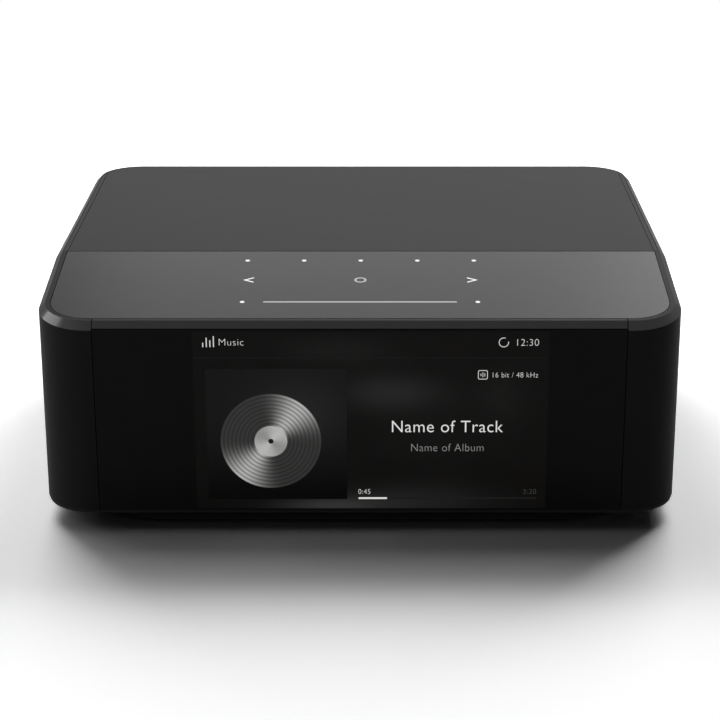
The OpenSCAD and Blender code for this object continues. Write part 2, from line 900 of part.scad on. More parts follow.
transformer_in = 18;
transformer_back = 36;
transformer_at = [power_x0 + transformer_in, front_y + transformer_back];
limb = [6, 12];
core_size = [32, limb[1], 26];
core_yoke = 5.5;
winding_gap = 0.4;
winding_t = 5.4;
winding_h = 14;
winding_in = limb + 2 * [winding_gap, winding_gap];
winding_out = winding_in + 2 * [winding_t, winding_t];

module power_board() {
    color("#2a5236") drilled_board(power_x0, front_y, power_x1, board_y, main_z, power_screws);
}

module power_standoffs() {
    color("#b9954a") standoffs(power_screws, floor_z, standoff_h);
}

// Two E halves round the winding
module transformer_core() {
    window = [6.5, core_size[2] - 2 * core_yoke];
    reveal = 0.3;
    color("#3a3a3d") translate([transformer_at[0], transformer_at[1], main_z]) difference() {
        translate([-core_size[0] / 2, -core_size[1] / 2, 0]) cube(core_size);
        for (side = [-1, 1]) translate([side * (limb[0] / 2 + reveal + window[0] / 2) - window[0] / 2,
            -core_size[1] / 2 - cut, core_yoke])
            cube([window[0], core_size[1] + 2 * cut, window[1]]);
    }
}

module transformer_winding() {
    color("#c9a23a") translate([transformer_at[0], transformer_at[1], main_z + core_size[2] / 2])
        difference() {
            cube([winding_out[0], winding_out[1], winding_h], center = true);
            cube([winding_in[0], winding_in[1], winding_h + 2 * cut], center = true);
        }
}

// One large reservoir, and a row of smaller ones in front of the transformer, beside the headphone jack
module power_capacitors() {
    large_r = 9;
    large_h = 24;
    large_in = 26;
    large_back = 84;
    small_r = 5;
    small_h = 18;
    small_gap = 1.5;
    pitch = 11.5;
    row_x = wall_t + headphone_body[0] - body_w / 2 + small_gap + small_r;
    row_y = transformer_at[1] - winding_out[1] / 2 - small_gap - small_r;
    color("#222a3a") {
        translate([power_x0 + large_in, front_y + large_back, main_z])
            cylinder(r = large_r, h = large_h);
        for (i = [0 : 2]) translate([row_x + i * pitch, row_y, main_z])
            cylinder(r = small_r, h = small_h);
    }
}

// Ring choke lying on the board
module power_choke() {
    ring = 7;
    wire = 4.9;
    lift = 0.1;
    choke_in = 14;
    choke_back = 64;
    color("#a8622c") translate([power_x0 + choke_in, front_y + choke_back, main_z + wire + lift])
        rotate_extrude() translate([ring, 0]) circle(wire);
}

// Angle that takes the heat of the power switch
module heat_bracket() {
    foot = [8, 23, 2];
    wall_h = 22;
    back = 50;
    margin = 1;
    color("#9a9c9f") translate([power_x1 - foot[0] - margin, front_y + back, main_z]) {
        cube([foot[2], foot[1], wall_h]);
        cube(foot);
    }
}

// Rear sockets on the main and power boards

module mains_inlet() {
    z = main_z + mains_size[2] / 2;
    color("#141415") difference() {
        block(mains_x, nose_y, main_z, mains_size);
        translate([mains_x, 0, z]) push_y(nose_y + cut, mains_hole_d + cut) {
            square([mains_pitch, 2 * mains_hole_r], center = true);
            for (side = [-1, 1]) translate([side * mains_pitch / 2, 0]) circle(mains_hole_r);
        }
    }
}

module mains_pins() {
    short = 4;
    len = mains_hole_d - short;
    color("#c9cacb") for (side = [-1, 1])
        rod_y(mains_x + side * mains_pitch / 2, nose_y - mains_hole_d + len,
            main_z + mains_size[2] / 2, mains_pin_r, len);
}

// Jack with the latch notch below its opening
module network_jack() {
    latch = [6.2, 2.2];
    z = main_z + network_size[2] / 2;
    color("#9fa2a5") difference() {
        block(network_x, nose_y, main_z, network_size);
        translate([network_x, 0, z]) push_y(nose_y + cut, network_hole[1] + cut) {
            square([network_hole[0], network_hole[2]], center = true);
            translate([-latch[0] / 2, -network_hole[2] / 2 - latch[1]])
                square([latch[0], latch[1] + cut]);
        }
    }
}

module network_contacts() {
    pitch = 1.02;
    strip = [0.5, 8, 0.5];
    drop = 1.4;
    top = main_z + (network_size[2] + network_hole[2]) / 2;
    color("#c8a24a") for (i = [0 : 7])
        block(network_x + (i - 3.5) * pitch, nose_y - network_hole[1] + strip[1], top - drop, strip);
}

module data_port_large() {
    color("#a9acaf") difference() {
        block(data_large_x, nose_y, main_z, data_size);
        block(data_large_x, nose_y + cut, main_z + data_wall, [data_size[0] - 2 * data_wall,
            data_size[1] - port_back + cut, data_size[2] - 2 * data_wall]);
    }
}

module data_port_small() {
    w = data_small_size[0];
    h = data_small_size[2];
    color("#a9acaf") translate([data_small_x, 0, data_small_z()]) difference() {
        push_y(nose_y, data_small_size[1]) stadium(w, h);
        push_y(nose_y + cut, data_small_size[1] - port_back + cut)
            stadium(w - 2 * data_small_wall, h - 2 * data_small_wall);
    }
}

module av_port() {
    corner = 1.6;
    w = av_size[0];
    h = av_size[2];
    color("#a9acaf") translate([av_x, 0, av_z()]) difference() {
        push_y(nose_y, av_size[1]) cut_corner_rect(w, h, corner);
        push_y(nose_y + cut, av_size[1] - port_back + cut)
            cut_corner_rect(w - 2 * av_wall, h - 2 * av_wall, corner);
    }
}

// Contact tongues in the audio-video port and the two data ports, held by the back walls
module port_tongues() {
    in = 3;
    av_tongue = [11, 1.2];
    large_tongue = [11, 1.8];
    large_lift = 1.1;
    small_tongue = [6, 0.7];
    color("#1d1d1f") {
        tongue(av_x, av_z(), in, av_size[1], av_tongue);
        tongue(data_large_x, data_large_z() + large_lift, in, data_size[1], large_tongue);
        tongue(data_small_x, data_small_z(), in - port_back, data_small_size[1], small_tongue);
    }
}

// A tongue from the back wall of a port to a distance inside its mouth
module tongue(x, z, in, depth, size) {
    block(x, nose_y - in, z - size[1] / 2, [size[0], depth - in - port_back, size[1]]);
}

// Three small jacks: remote, trigger and line input
module mini_jacks() {
    z = main_z + mini_size[2] / 2;
    color("#18181a") for (x = mini_xs) difference() {
        union() {
            block(x, panel_in, main_z, mini_size);
            rod_y(x, nose_y, z, mini_nose_r, nose_y - panel_in + cut);
        }
        rod_y(x, nose_y + cut, z, mini_r, mini_size[1] + cut);
    }
}

// Rear sockets on the audio board

// Housing behind the phono jacks
module phono_block() {
    x0 = phono_xs[3] - phono_edge;
    x1 = phono_xs[0] + phono_edge;
    color("#1d1d1f") difference() {
        translate([x0, panel_in - phono_block_d, audio_z]) cube([x1 - x0, phono_block_d, socket_block]);
        for (x = phono_screw_xs()) rod_y(x, panel_in + cut, upper_z, screw_r, screw_reach);
    }
}

module phono_shells() {
    color("#b88d3e") for (x = phono_xs) difference() {
        union() {
            rod_y(x, panel_y + phono_len, upper_z, phono_r, phono_len + panel_t);
            rod_y(x, panel_y + phono_collar_t, upper_z, phono_collar_r, phono_collar_t);
        }
        rod_y(x, panel_y + phono_len + cut, upper_z, phono_r - phono_wall,
            phono_len + panel_t + 2 * cut);
    }
}

module phono_insulators() {
    set_back = 0.8;
    color("#d8d8d4") for (x = phono_xs) difference() {
        rod_y(x, panel_y + phono_len - set_back, upper_z, phono_r - phono_wall - phono_core_gap,
            phono_len - set_back + panel_t);
        rod_y(x, panel_y + phono_len, upper_z, phono_pin_r, phono_len);
    }
}

// Square flange on the panel and a round barrel behind it
module balanced_sockets() {
    r = 3;
    w = balanced_flange[0];
    h = balanced_flange[2];
    front = panel_y + balanced_flange[1];
    color("#2a2b2d") for (x = balanced_xs) difference() {
        union() {
            translate([x, 0, upper_z]) push_y(front, balanced_flange[1])
                rounded_rect(-w / 2, -h / 2, w / 2, h / 2, r);
            rod_y(x, panel_y + cut, upper_z, balanced_barrel_r, balanced_barrel_d + cut);
        }
        rod_y(x, front + cut, upper_z, balanced_r, balanced_hole_d + cut);
        for (s = [-1, 1]) rod_y(x + s * balanced_screw[0], front + cut,
            upper_z + s * balanced_screw[1], screw_r, balanced_flange[1] + 2 * cut);
    }
}

module balanced_pins() {
    short = 3;
    len = balanced_hole_d - short;
    front = panel_y + balanced_flange[1];
    color("#c9cacb") for (x = balanced_xs, a = [-90, 30, 150])
        rod_y(x + balanced_pin_ring * cos(a), front - balanced_hole_d + len,
            upper_z + balanced_pin_ring * sin(a), balanced_pin_r, len);
}

module optical_socket() {
    pin_len = optical_bore + 2 * shutter_pin_in;
    color("#1d1d1f") difference() {
        block(optical_x, nose_y, audio_z, optical_size);
        block(optical_x, nose_y + cut, upper_z - optical_bore / 2,
            [optical_bore, optical_hole_d + cut, optical_bore]);
        translate([optical_x - pin_len / 2 - shutter_fit, shutter_y, shutter_z]) rotate([0, 90, 0])
            cylinder(r = shutter_pin_r + shutter_fit, h = pin_len + 2 * shutter_fit);
    }
}

// Flap that hangs from its own pin just inside the optical opening
module optical_shutter() {
    w = optical_bore - 2 * shutter_gap;
    pin_len = optical_bore + 2 * shutter_pin_in - 2 * shutter_fit;
    drop = optical_bore - shutter_drop - shutter_gap;
    color("#2c2d30") {
        translate([optical_x - pin_len / 2, shutter_y, shutter_z]) rotate([0, 90, 0])
            cylinder(r = shutter_pin_r, h = pin_len);
        translate([optical_x - w / 2, shutter_y, shutter_z]) rotate([0, 90, 0])
            cylinder(r = shutter_knuckle_r, h = w);
        translate([optical_x - w / 2, shutter_y - shutter_t / 2, shutter_z - drop])
            cube([w, shutter_t, drop]);
    }
}

// Headphone jacks in the cheeks

module headphone_jack() {
    inner = body_w / 2 - wall_t;
    color("#18181a") difference() {
        union() {
            translate([inner - headphone_body[0], headphone_y - headphone_body[1] / 2,
                headphone_z - headphone_body[2] / 2]) cube(headphone_body);
            translate([inner - cut, headphone_y, headphone_z]) rotate([0, 90, 0])
                cylinder(r = bush_r, h = wall_t + cut - bush_gap);
        }
        translate([body_w / 2 - bush_gap - headphone_depth, headphone_y, headphone_z])
            rotate([0, 90, 0]) cylinder(r = headphone_r, h = headphone_depth + cut);
    }
}

module headphone_jacks() {
    headphone_jack();
    mirror([1, 0, 0]) headphone_jack();
}

// Trim rings let into the outside of the cheeks
module headphone_rings() {
    color("#8d8f92") for (side = [-1, 1])
        translate([side * (body_w / 2 - ring_t / 2 - bush_gap), headphone_y, headphone_z])
            rotate([0, 90, 0]) difference() {
                cylinder(r = ring_r, h = ring_t, center = true);
                cylinder(r = bush_r + bush_gap, h = ring_t + 2 * cut, center = true);
            }
}

// Fasteners

// Countersunk screws through the bottom plate into the posts of the cheeks
module cheek_screws() {
    color("#9b9d9f") for (side = [-1, 1], y = post_ys) translate([side * post_x, y, base_h]) {
        cylinder(r1 = 2 * screw_r, r2 = screw_r, h = screw_r);
        cylinder(r = screw_r, h = bottom_t + screw_reach);
    }
}

// Round-headed screw along Y, its head on the face at y1
module panel_screw(x, y1, z, len) {
    rod_y(x, y1 + head_t, z, head_r, head_t);
    rod_y(x, y1 + head_t / 2, z, screw_r - screw_gap, len + head_t / 2);
}

module panel_screws() {
    color("#2b2b2c") {
        for (x = corner_xs, z = corner_zs) panel_screw(x, panel_y, z, panel_t + tab_t);
        for (x = phono_screw_xs()) panel_screw(x, panel_y, upper_z, panel_t + screw_reach - 2 * cut);
        for (x = balanced_xs, s = [-1, 1]) panel_screw(x + s * balanced_screw[0],
            panel_y + balanced_flange[1], upper_z + s * balanced_screw[1], balanced_flange[1] + panel_t);
    }
}

// Screws that hold the three boards down on their standoffs
module board_screws() {
    grip = 3;
    points = concat([for (p = main_screws) [p[0], p[1], main_z]],
        [for (p = power_screws) [p[0], p[1], main_z]],
        [for (p = audio_screws) [p[0], p[1], audio_z]]);
    color("#9b9d9f") for (p = points) translate(p) {
        cylinder(r = head_r, h = head_t);
        translate([0, 0, -board_t - grip])
            cylinder(r = screw_r - screw_gap, h = board_t + grip + head_t / 2);
    }
}

side_cheek_left();
side_cheek_right();
front_trim();
front_glass();
touch_glass();
top_cover();
cross_bar();
rear_panel();
bottom_plate();
plinth();
base_pad();
display_gasket();
display_cell();
display_tray();
display_bracket();
glass_pads();
display_ribbon();
touch_board();
light_guide();
touch_ribbon();
main_board();
main_standoffs();
processor();
heat_sink();
board_chips();
board_connectors();
radio_module();
antenna_boards();
audio_board();
audio_spacers();
audio_chips();
audio_capacitors();
power_board();
power_standoffs();
transformer_core();
transformer_winding();
power_capacitors();
power_choke();
heat_bracket();
mains_inlet();
mains_pins();
network_jack();
network_contacts();
data_port_large();
data_port_small();
av_port();
port_tongues();
mini_jacks();
phono_block();
phono_shells();
phono_insulators();
balanced_sockets();
balanced_pins();
optical_socket();
optical_shutter();
headphone_jacks();
headphone_rings();
cheek_screws();
panel_screws();
board_screws();
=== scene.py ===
# %% [markdown]
# # Dressing a desktop music streamer
# The object is a low desktop player. Two black metal cheeks wrap a full-height black glass front,
# and a sloping sheet of satin glass in front of the flat cover takes the place of buttons. A frame
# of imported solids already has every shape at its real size, so this lesson adds what solids can't
# carry: finishes, soft edges, the lit display, the lit touch marks, a camera and a small studio.

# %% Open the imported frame
import json
import math
import bmesh
import bpy
from mathutils import Matrix, Vector

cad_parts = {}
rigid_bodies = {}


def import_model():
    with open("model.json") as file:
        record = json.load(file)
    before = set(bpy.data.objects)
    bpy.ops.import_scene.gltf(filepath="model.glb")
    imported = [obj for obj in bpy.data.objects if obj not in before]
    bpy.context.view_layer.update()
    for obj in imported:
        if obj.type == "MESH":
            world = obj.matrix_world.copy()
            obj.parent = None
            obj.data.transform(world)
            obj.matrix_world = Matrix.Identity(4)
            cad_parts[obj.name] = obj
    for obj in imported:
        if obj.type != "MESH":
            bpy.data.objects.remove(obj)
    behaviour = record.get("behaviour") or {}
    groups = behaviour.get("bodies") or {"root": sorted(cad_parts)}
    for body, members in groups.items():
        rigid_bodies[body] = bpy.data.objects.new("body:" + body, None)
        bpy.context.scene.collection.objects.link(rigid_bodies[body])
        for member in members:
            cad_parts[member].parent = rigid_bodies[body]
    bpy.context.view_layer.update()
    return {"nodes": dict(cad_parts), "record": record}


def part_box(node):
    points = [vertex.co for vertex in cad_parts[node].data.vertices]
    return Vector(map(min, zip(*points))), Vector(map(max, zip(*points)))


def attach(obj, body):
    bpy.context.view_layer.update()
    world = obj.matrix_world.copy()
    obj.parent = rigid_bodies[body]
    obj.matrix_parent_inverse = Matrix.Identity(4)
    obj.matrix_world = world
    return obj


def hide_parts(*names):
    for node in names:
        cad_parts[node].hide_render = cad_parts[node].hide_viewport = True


for leftover in list(bpy.data.objects):
    bpy.data.objects.remove(leftover)
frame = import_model()
nodes = frame["nodes"]
MM = 0.001
scene = bpy.context.scene

# %% [markdown]
# ## The camera
# A product picture is taken from a step away with a long lens, which keeps upright edges almost
# parallel. The camera could be placed by eye, but edges measured in the picture give its place,
# tilt and focal length directly. The picture was cropped off centre, so the lens is shifted a
# little.

# %% Camera at the measured view
IMAGE_PX = 720
FOCAL_PX = 2040.3
AXIS_PX = 377.5
CAMERA_AT = Vector((5.98, -745.18, 288.4)) * MM
LOOK_DOWN = 19.181

lens = bpy.data.cameras.new("picture_view")
lens.lens = lens.sensor_width * FOCAL_PX / IMAGE_PX
lens.shift_x = (IMAGE_PX / 2 - AXIS_PX) / IMAGE_PX
camera = bpy.data.objects.new("picture_view", lens)
camera.location = CAMERA_AT
camera.rotation_euler = (math.radians(90 - LOOK_DOWN), 0, 0)
scene.collection.objects.link(camera)
scene.camera = camera
scene.view_settings.view_transform = "Standard"
print("lens of", round(lens.lens, 1), "mm, shift", round(lens.shift_x, 4))

# %% [markdown]
# ## Shader maths as Python
# A finish is a tree of nodes, and wiring it by hand hides the idea behind it. Wrapping a socket in
# a small class lets a finish be written as a sum: 1 - mask adds the Math node by itself. Colours go
# through Mix and vectors through Vector Math, because a Math node would turn a colour grey.

# %% A socket that can be calculated with
class Wire:
    """An output socket of a node. Arithmetic on it adds the node that works it out."""

    def __init__(self, board, socket):
        self.board, self.socket = board, socket

    def _sum(self, operation, a, b):
        if self.socket.type == "RGBA":
            settings = {"data_type": "RGBA", "blend_type": operation}
            return self.board.add("Mix", settings, {0: 1.0, 6: a, 7: b}, out=2)
        kind = "VectorMath" if self.socket.type == "VECTOR" else "Math"
        return self.board.add(kind, {"operation": operation}, {0: a, 1: b})

    def __add__(self, other):
        return self._sum("ADD", self, other)

    def __sub__(self, other):
        return self._sum("SUBTRACT", self, other)

    def __rsub__(self, other):
        return self._sum("SUBTRACT", other, self)

    def __mul__(self, other):
        return self._sum("MULTIPLY", self, other)

    __radd__ = __add__
    __rmul__ = __mul__


class Board:
    """A node tree that is being wired."""

    def __init__(self, tree):
        self.tree = tree
        tree.nodes.clear()

    def add(self, kind, settings=(), sockets=(), out=0):
        """Any node: its type, its settings, then the values or links of its sockets."""
        made = self.tree.nodes.new("ShaderNode" + kind)
        for key, value in dict(settings).items():
            setattr(made, key, value)
        for key, value in dict(sockets).items():
            if isinstance(value, Wire):
                self.tree.links.new(value.socket, made.inputs[key])
            else:
                made.inputs[key].default_value = value
        return Wire(self, made.outputs[out]) if made.outputs else None


# %% [markdown]
# A few shorthands are used by nearly every finish: a place on the object in millimetres, a cloud of
# noise with a size in millimetres, a mix of two colours, and a relief that the light catches.
# Colours are written as the 0 to 255 values that a picture shows and are turned into the linear
# values that a renderer adds up.

# %% Places, clouds and colours
def linear(value):
    """The linear value of a picture's 0 to 255 value, by the sRGB curve."""
    share = value / 255
    return share / 12.92 if share <= 0.04045 else ((share + 0.055) / 1.055) ** 2.4


def tint(red, green, blue):
    return (linear(red), linear(green), linear(blue), 1.0)


def grey(value):
    return tint(value, value, value)


def open_finish(name):
    material = bpy.data.materials.new(name)
    material.use_nodes = True
    return material, Board(material.node_tree)


def place_mm(board, stretch=(1, 1, 1)):
    """The place on the object in mm, drawn out along an axis by its stretch."""
    return board.add("TexCoord", out="Object") * tuple(1 / MM / along for along in stretch)


def maths(board, operation, *values):
    """A Math node, for what the signs of arithmetic can't say."""
    return board.add("Math", {"operation": operation}, dict(enumerate(values)))


def part(board, vector, axis):
    return board.add("SeparateXYZ", {}, {0: vector}, out=axis)


def cloud(board, place, size, detail=2.0):
    return board.add("TexNoise", {}, {"Vector": place, "Scale": 1 / size, "Detail": detail})


def between(board, amount, first, second):
    return board.add("Mix", {"data_type": "RGBA"}, {0: amount, 6: first, 7: second}, out=2)


def as_grey(board, level, blue=1.0):
    """A level that varies, as a grey. Less blue makes it warmer."""
    return board.add("CombineColor", {}, {0: level, 1: level, 2: level * blue})


def bump(board, height, depth, strength=0.5):
    return board.add("Bump", {}, {"Strength": strength, "Distance": depth * MM, "Height": height})


def close_finish(board, **sockets):
    """Ends a finish in a surface shader. Base_Color stands for its Base Color socket."""
    named = {key.replace("_", " "): value for key, value in sockets.items()}
    surface = board.add("BsdfPrincipled", {}, named)
    board.add("OutputMaterial", {}, {"Surface": surface})


print("mid grey 128 is", round(linear(128), 3), "linear")

# %% [markdown]
# ## Grained finishes
# Bead-blasted metal, paint, moulded plastic, rubber and plating look different, but they share a
# build: two close tones clouded together, a gloss that wavers, and a grain that the light catches.
# One function with a table of real sizes keeps them apart, and the grain can be stretched to make
# the lines of rolled, turned or extruded metal.

# %% One function for every grained finish
BROAD, BROAD_SHARE = 45, 0.6


def mottled(board, broad, fine, dark, light):
    """Two close tones, clouded together by a broad and a fine cloud."""
    return between(board, broad * BROAD_SHARE + fine * (1 - BROAD_SHARE), dark, light)


def wavering(rough, fine):
    """A roughness between two values that follows a fine cloud."""
    return rough[0] + fine * (rough[1] - rough[0])


def grained(name, dark, light, rough, grain, depth, metal=0.0, shine=0.5, stretch=(1, 1, 1)):
    """A finish of two tones and two roughnesses. The grain's size and depth are in mm."""
    material, board = open_finish(name)
    place = place_mm(board, stretch)
    fine, broad = cloud(board, place, grain), cloud(board, place, grain * BROAD)
    close_finish(
        board,
        Base_Color=mottled(board, broad, fine, dark, light),
        Roughness=wavering(rough, fine),
        Metallic=metal,
        Specular_IOR_Level=shine,
        Normal=bump(board, fine, depth),
    )
    return material


# %% Table of the grained finishes, by the record's slots
METAL = {"metal": 1.0}
LINES_X = {"metal": 1.0, "stretch": (30, 1, 1)}
LINES_Y = {"metal": 1.0, "stretch": (1, 30, 1)}
GRAINED = {
    "cover_finish": (grey(36), grey(41), (0.42, 0.52), 0.2, 0.006, {"shine": 0.012}),
    "steel_sheet": (grey(135), grey(165), (0.3, 0.45), 0.25, 0.004, LINES_X),
    "panel_finish": (grey(27), grey(36), (0.45, 0.62), 0.45, 0.03, {"shine": 0.35}),
    "black_moulding": (grey(27), grey(35), (0.45, 0.6), 0.3, 0.015, {"shine": 0.05}),
    "base_rubber": (grey(22), grey(32), (0.7, 0.9), 0.5, 0.03, {"shine": 0.2}),
    "foam_black": (grey(20), grey(38), (0.85, 1.0), 0.6, 0.1, {"shine": 0.1}),
    "display_face": (grey(8), grey(14), (0.05, 0.1), 0.3, 0.001, {}),
    "ribbon_film": (tint(150, 88, 30), tint(186, 120, 52), (0.2, 0.3), 0.4, 0.004, {}),
    "chip_black": (grey(24), grey(36), (0.5, 0.65), 0.2, 0.01, {}),
    "clear_guide": (grey(205), grey(228), (0.35, 0.5), 0.4, 0.01, {}),
    "spacer_brass": (tint(176, 138, 66), tint(208, 172, 96), (0.22, 0.34), 0.15, 0.004, METAL),
    "bare_aluminium": (grey(168), grey(194), (0.28, 0.4), 0.2, 0.006, LINES_Y),
    "cream_moulding": (tint(212, 204, 184), tint(228, 221, 204), (0.4, 0.5), 0.3, 0.01, {}),
    "port_shell": (grey(168), grey(196), (0.18, 0.32), 0.2, 0.003, LINES_Y),
    "capacitor_sleeve": (tint(28, 36, 58), tint(40, 50, 76), (0.2, 0.3), 0.5, 0.005, {}),
    "core_grey": (grey(52), grey(72), (0.6, 0.8), 0.25, 0.02, {}),
    "winding_tape": (tint(196, 154, 48), tint(216, 178, 74), (0.2, 0.32), 0.6, 0.01, {}),
    "choke_copper": (tint(150, 78, 38), tint(190, 112, 60), (0.2, 0.32), 0.5, 0.05, METAL),
    "contact_gold": (tint(196, 152, 72), tint(226, 186, 104), (0.14, 0.26), 0.12, 0.004, METAL),
    "pin_silver": (grey(190), grey(212), (0.16, 0.26), 0.15, 0.003, METAL),
    "screw_steel": (grey(150), grey(180), (0.25, 0.38), 0.2, 0.005, METAL),
    "screw_black": (grey(30), grey(46), (0.3, 0.45), 0.2, 0.006, {"metal": 0.6}),
}
FINISHES = {
    slot: grained(slot, *look, **special) for slot, (*look, special) in GRAINED.items()
}
print(len(FINISHES), "grained finishes")

# %% [markdown]
# ## Blasted metal with a cut edge
# The cheeks are blasted and dyed black, and the slanted edge is cut after that with a polished
# cutter, so it is glossier than the walls, most of all along the front. The edge could be a part of
# its own, but then the finish would show a seam. Only the slanted edge faces half up, so the
# surface's normal is enough to find it. A thin coat gives the gloss, and it is weaker where the
# edge faces to the side.

# %% Black blasted metal
CUT_LOW, CUT_HIGH, CUT_SIDE, CUT_SOFT = 0.4, 0.85, 0.6, 0.1
SIDE_COAT, CUT_GLOSS = 0.24, 0.2
BLAST_GRAIN, BLAST_DEPTH, DYE_CLOUD = 0.16, 0.004, 8


def ramp_up(board, value, start, width):
    return board.add("MapRange", {}, {"Value": value, "From Min": start, "From Max": start + width})


def blasted_metal(name, dark, light, rough, shine, coat):
    material, board = open_finish(name)
    place = place_mm(board)
    fine, broad = cloud(board, place, BLAST_GRAIN), cloud(board, place, DYE_CLOUD)
    facing = board.add("NewGeometry", out="Normal")
    side = maths(board, "ABSOLUTE", part(board, facing, "X"))
    lift = part(board, facing, "Z")
    cut = ramp_up(board, lift, CUT_LOW, CUT_SOFT) * (1 - ramp_up(board, lift, CUT_HIGH, CUT_SOFT))
    cut = cut * (1 - ramp_up(board, side, CUT_SIDE, CUT_SOFT) * (1 - SIDE_COAT))
    close_finish(
        board,
        Base_Color=mottled(board, broad, fine, dark, light),
        Roughness=wavering(rough, fine),
        Specular_IOR_Level=shine,
        Coat_Weight=cut * coat,
        Coat_Roughness=CUT_GLOSS,
        Normal=bump(board, fine, BLAST_DEPTH),
    )
    return material


BLASTED = (0.5, 0.6)
FINISHES["dark_casing"] = blasted_metal("dark_casing", grey(21), grey(27), BLASTED, 0.028, 0.53)
FINISHES["trim_finish"] = blasted_metal("trim_finish", grey(20), grey(26), BLASTED, 0.04, 0.45)
print("slanted edge coated", SIDE_COAT, "as much where it faces to the side")

# %% [markdown]
# ## Circuit boards and coloured insulators
# A circuit board is copper tracks under a green lacquer, which thins over the track edges. Bricks
# with thin joints stand in for tracks, because they run square to the board's edges as tracks do.
# The phono insulators are told apart by colour, white for left and red for right, so their finish
# asks where along the panel it is.

# %% Board lacquer and phono insulators
TRACK_SCALE, TRACK_GAP, TRACK_SHOWS, TRACK_DEPTH = 0.35, 0.012, 0.7, 0.03
LACQUER_CLOUD = 3.0
SPECK, SPECK_DEPTH = 0.6, 0.01


def board_lacquer(name):
    material, board = open_finish(name)
    place = place_mm(board)
    bricks = {"Vector": place, "Scale": TRACK_SCALE, "Mortar Size": TRACK_GAP}
    tracks = board.add("TexBrick", {}, bricks, out="Fac")
    speck = cloud(board, place, LACQUER_CLOUD)
    lacquer = between(board, speck, tint(14, 52, 32), tint(24, 70, 44))
    close_finish(
        board,
        Base_Color=between(board, tracks * TRACK_SHOWS, lacquer, tint(62, 112, 64)),
        Roughness=wavering((0.25, 0.4), speck),
        Normal=bump(board, tracks, TRACK_DEPTH),
    )
    return material


def insulator_colours(name, red_at, reach):
    """White insulators, and red ones within a reach of two places along the panel."""
    material, board = open_finish(name)
    place = place_mm(board)
    x = part(board, place, "X")
    first, second = (maths(board, "COMPARE", x, at, reach) for at in red_at)
    red = first + second
    speck = cloud(board, place, SPECK)
    white = between(board, speck, grey(206), grey(222))
    close_finish(
        board,
        Base_Color=between(board, red, white, tint(168, 30, 26)),
        Roughness=wavering((0.28, 0.4), speck),
        Normal=bump(board, speck, SPECK_DEPTH),
    )
    return material


FINISHES["circuit_board"] = board_lacquer("circuit_board")
PHONO_JACKS = 4
phono_lo, phono_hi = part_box("phono_insulators")
row_length = phono_hi.x - phono_lo.x - (phono_hi.z - phono_lo.z)
PHONO_STEP = row_length / (PHONO_JACKS - 1) / MM
PHONO_MID = (phono_lo.x + phono_hi.x) / 2 / MM
# Seen from behind, the second and the fourth jack of the row are red.
RED_AT = (PHONO_MID - 1.5 * PHONO_STEP, PHONO_MID + 0.5 * PHONO_STEP)
FINISHES["insulator_white"] = insulator_colours("insulator_white", RED_AT, PHONO_STEP / 2)
print("phono jacks every", round(PHONO_STEP, 1), "mm")

# %% [markdown]
# ## The touch glass
# The sloping sheet is etched glass over a black print. Etching breaks the mirror image into a satin
# sheen without hiding the colour below. The colour is nearly black, so what is seen is the sheen:
# its strength is the gloss of glass, and its spread comes from the roughness of the etch.

# %% Satin etched glass
ETCH_GRAIN, ETCH_DEPTH, ETCH_STRENGTH, PRINT_CLOUD = 0.12, 0.002, 0.3, 30


def etched_glass(name):
    material, board = open_finish(name)
    place = place_mm(board)
    etch = cloud(board, place, ETCH_GRAIN)
    print_tone = cloud(board, place, PRINT_CLOUD)
    close_finish(
        board,
        Base_Color=between(board, print_tone, grey(30), grey(35)),
        Roughness=wavering((0.24, 0.29), etch),
        Specular_IOR_Level=0.03,
        Normal=bump(board, etch, ETCH_DEPTH, ETCH_STRENGTH),
    )
    return material


FINISHES["touch_black"] = etched_glass("touch_black")
print("etched glass with a grain of", ETCH_GRAIN, "mm")

# %% [markdown]
# ## The front glass and its lit display
# One sheet of clear glass covers the whole front. Its back is printed black round a window, and a
# display bonded behind the window glows through it. The window could be a hole with a screen behind
# it, but the bond leaves no air gap and no edge to see, so the glow is part of the glass finish: a
# faint level all over the window, and soft patches where the screen shows a blurred backdrop.

# %% Black glass with a window that glows
SCREEN, SCREEN_SOFT = (-56.4, 64.0, 8.35, 72.9), 0.4
WARMTH = (1.2, 1.0, 0.85)
FAINT, FAINT_MORE, FAINT_CLOUD = 0.0008, 0.0016, 14
SMEAR = 9
GLOWS = (
    (10, 51, 16, 6, 0.012),
    (24, 36, 26, 18, 0.0015),
    (-10, 9.5, 16, 3, 0.024),
    (16, 11, 26, 6, 0.01),
    (-8, 66, 20, 5, 0.004),
    (48, 50, 8, 10, 0.003),
)


def window(board, x, z, edges, soft):
    """A mask that is 1 between the left, right, low and high edges."""
    left, right, low, high = edges
    across = ramp_up(board, x, left, soft) * (1 - ramp_up(board, x, right - soft, soft))
    return across * ramp_up(board, z, low, soft) * (1 - ramp_up(board, z, high - soft, soft))


def patch(board, x, z, glow):
    """A soft round light: its place, its two half widths and its level."""
    at_x, at_z, wide, high, level = glow
    u, v = (x - at_x) * (1 / wide), (z - at_z) * (1 / high)
    return maths(board, "EXPONENT", 0 - (u * u + v * v)) * level


def lit_glass(name):
    material, board = open_finish(name)
    place = place_mm(board)
    x, z = part(board, place, "X"), part(board, place, "Z")
    base = FAINT + cloud(board, place, FAINT_CLOUD) * FAINT_MORE
    glows = [patch(board, x, z, glow) for glow in GLOWS]
    pools = sum(glows[1:], glows[0])
    pane = window(board, x, z, SCREEN, SCREEN_SOFT)
    light = [(base * warmth + pools) * pane for warmth in WARMTH]
    smear = cloud(board, place, SMEAR)
    close_finish(
        board,
        Base_Color=between(board, smear, grey(22), grey(25)),
        Roughness=wavering((0.05, 0.09), smear),
        Specular_IOR_Level=0.02,
        Emission_Color=board.add("CombineColor", {}, dict(enumerate(light))),
        Emission_Strength=1.0,
    )
    return material


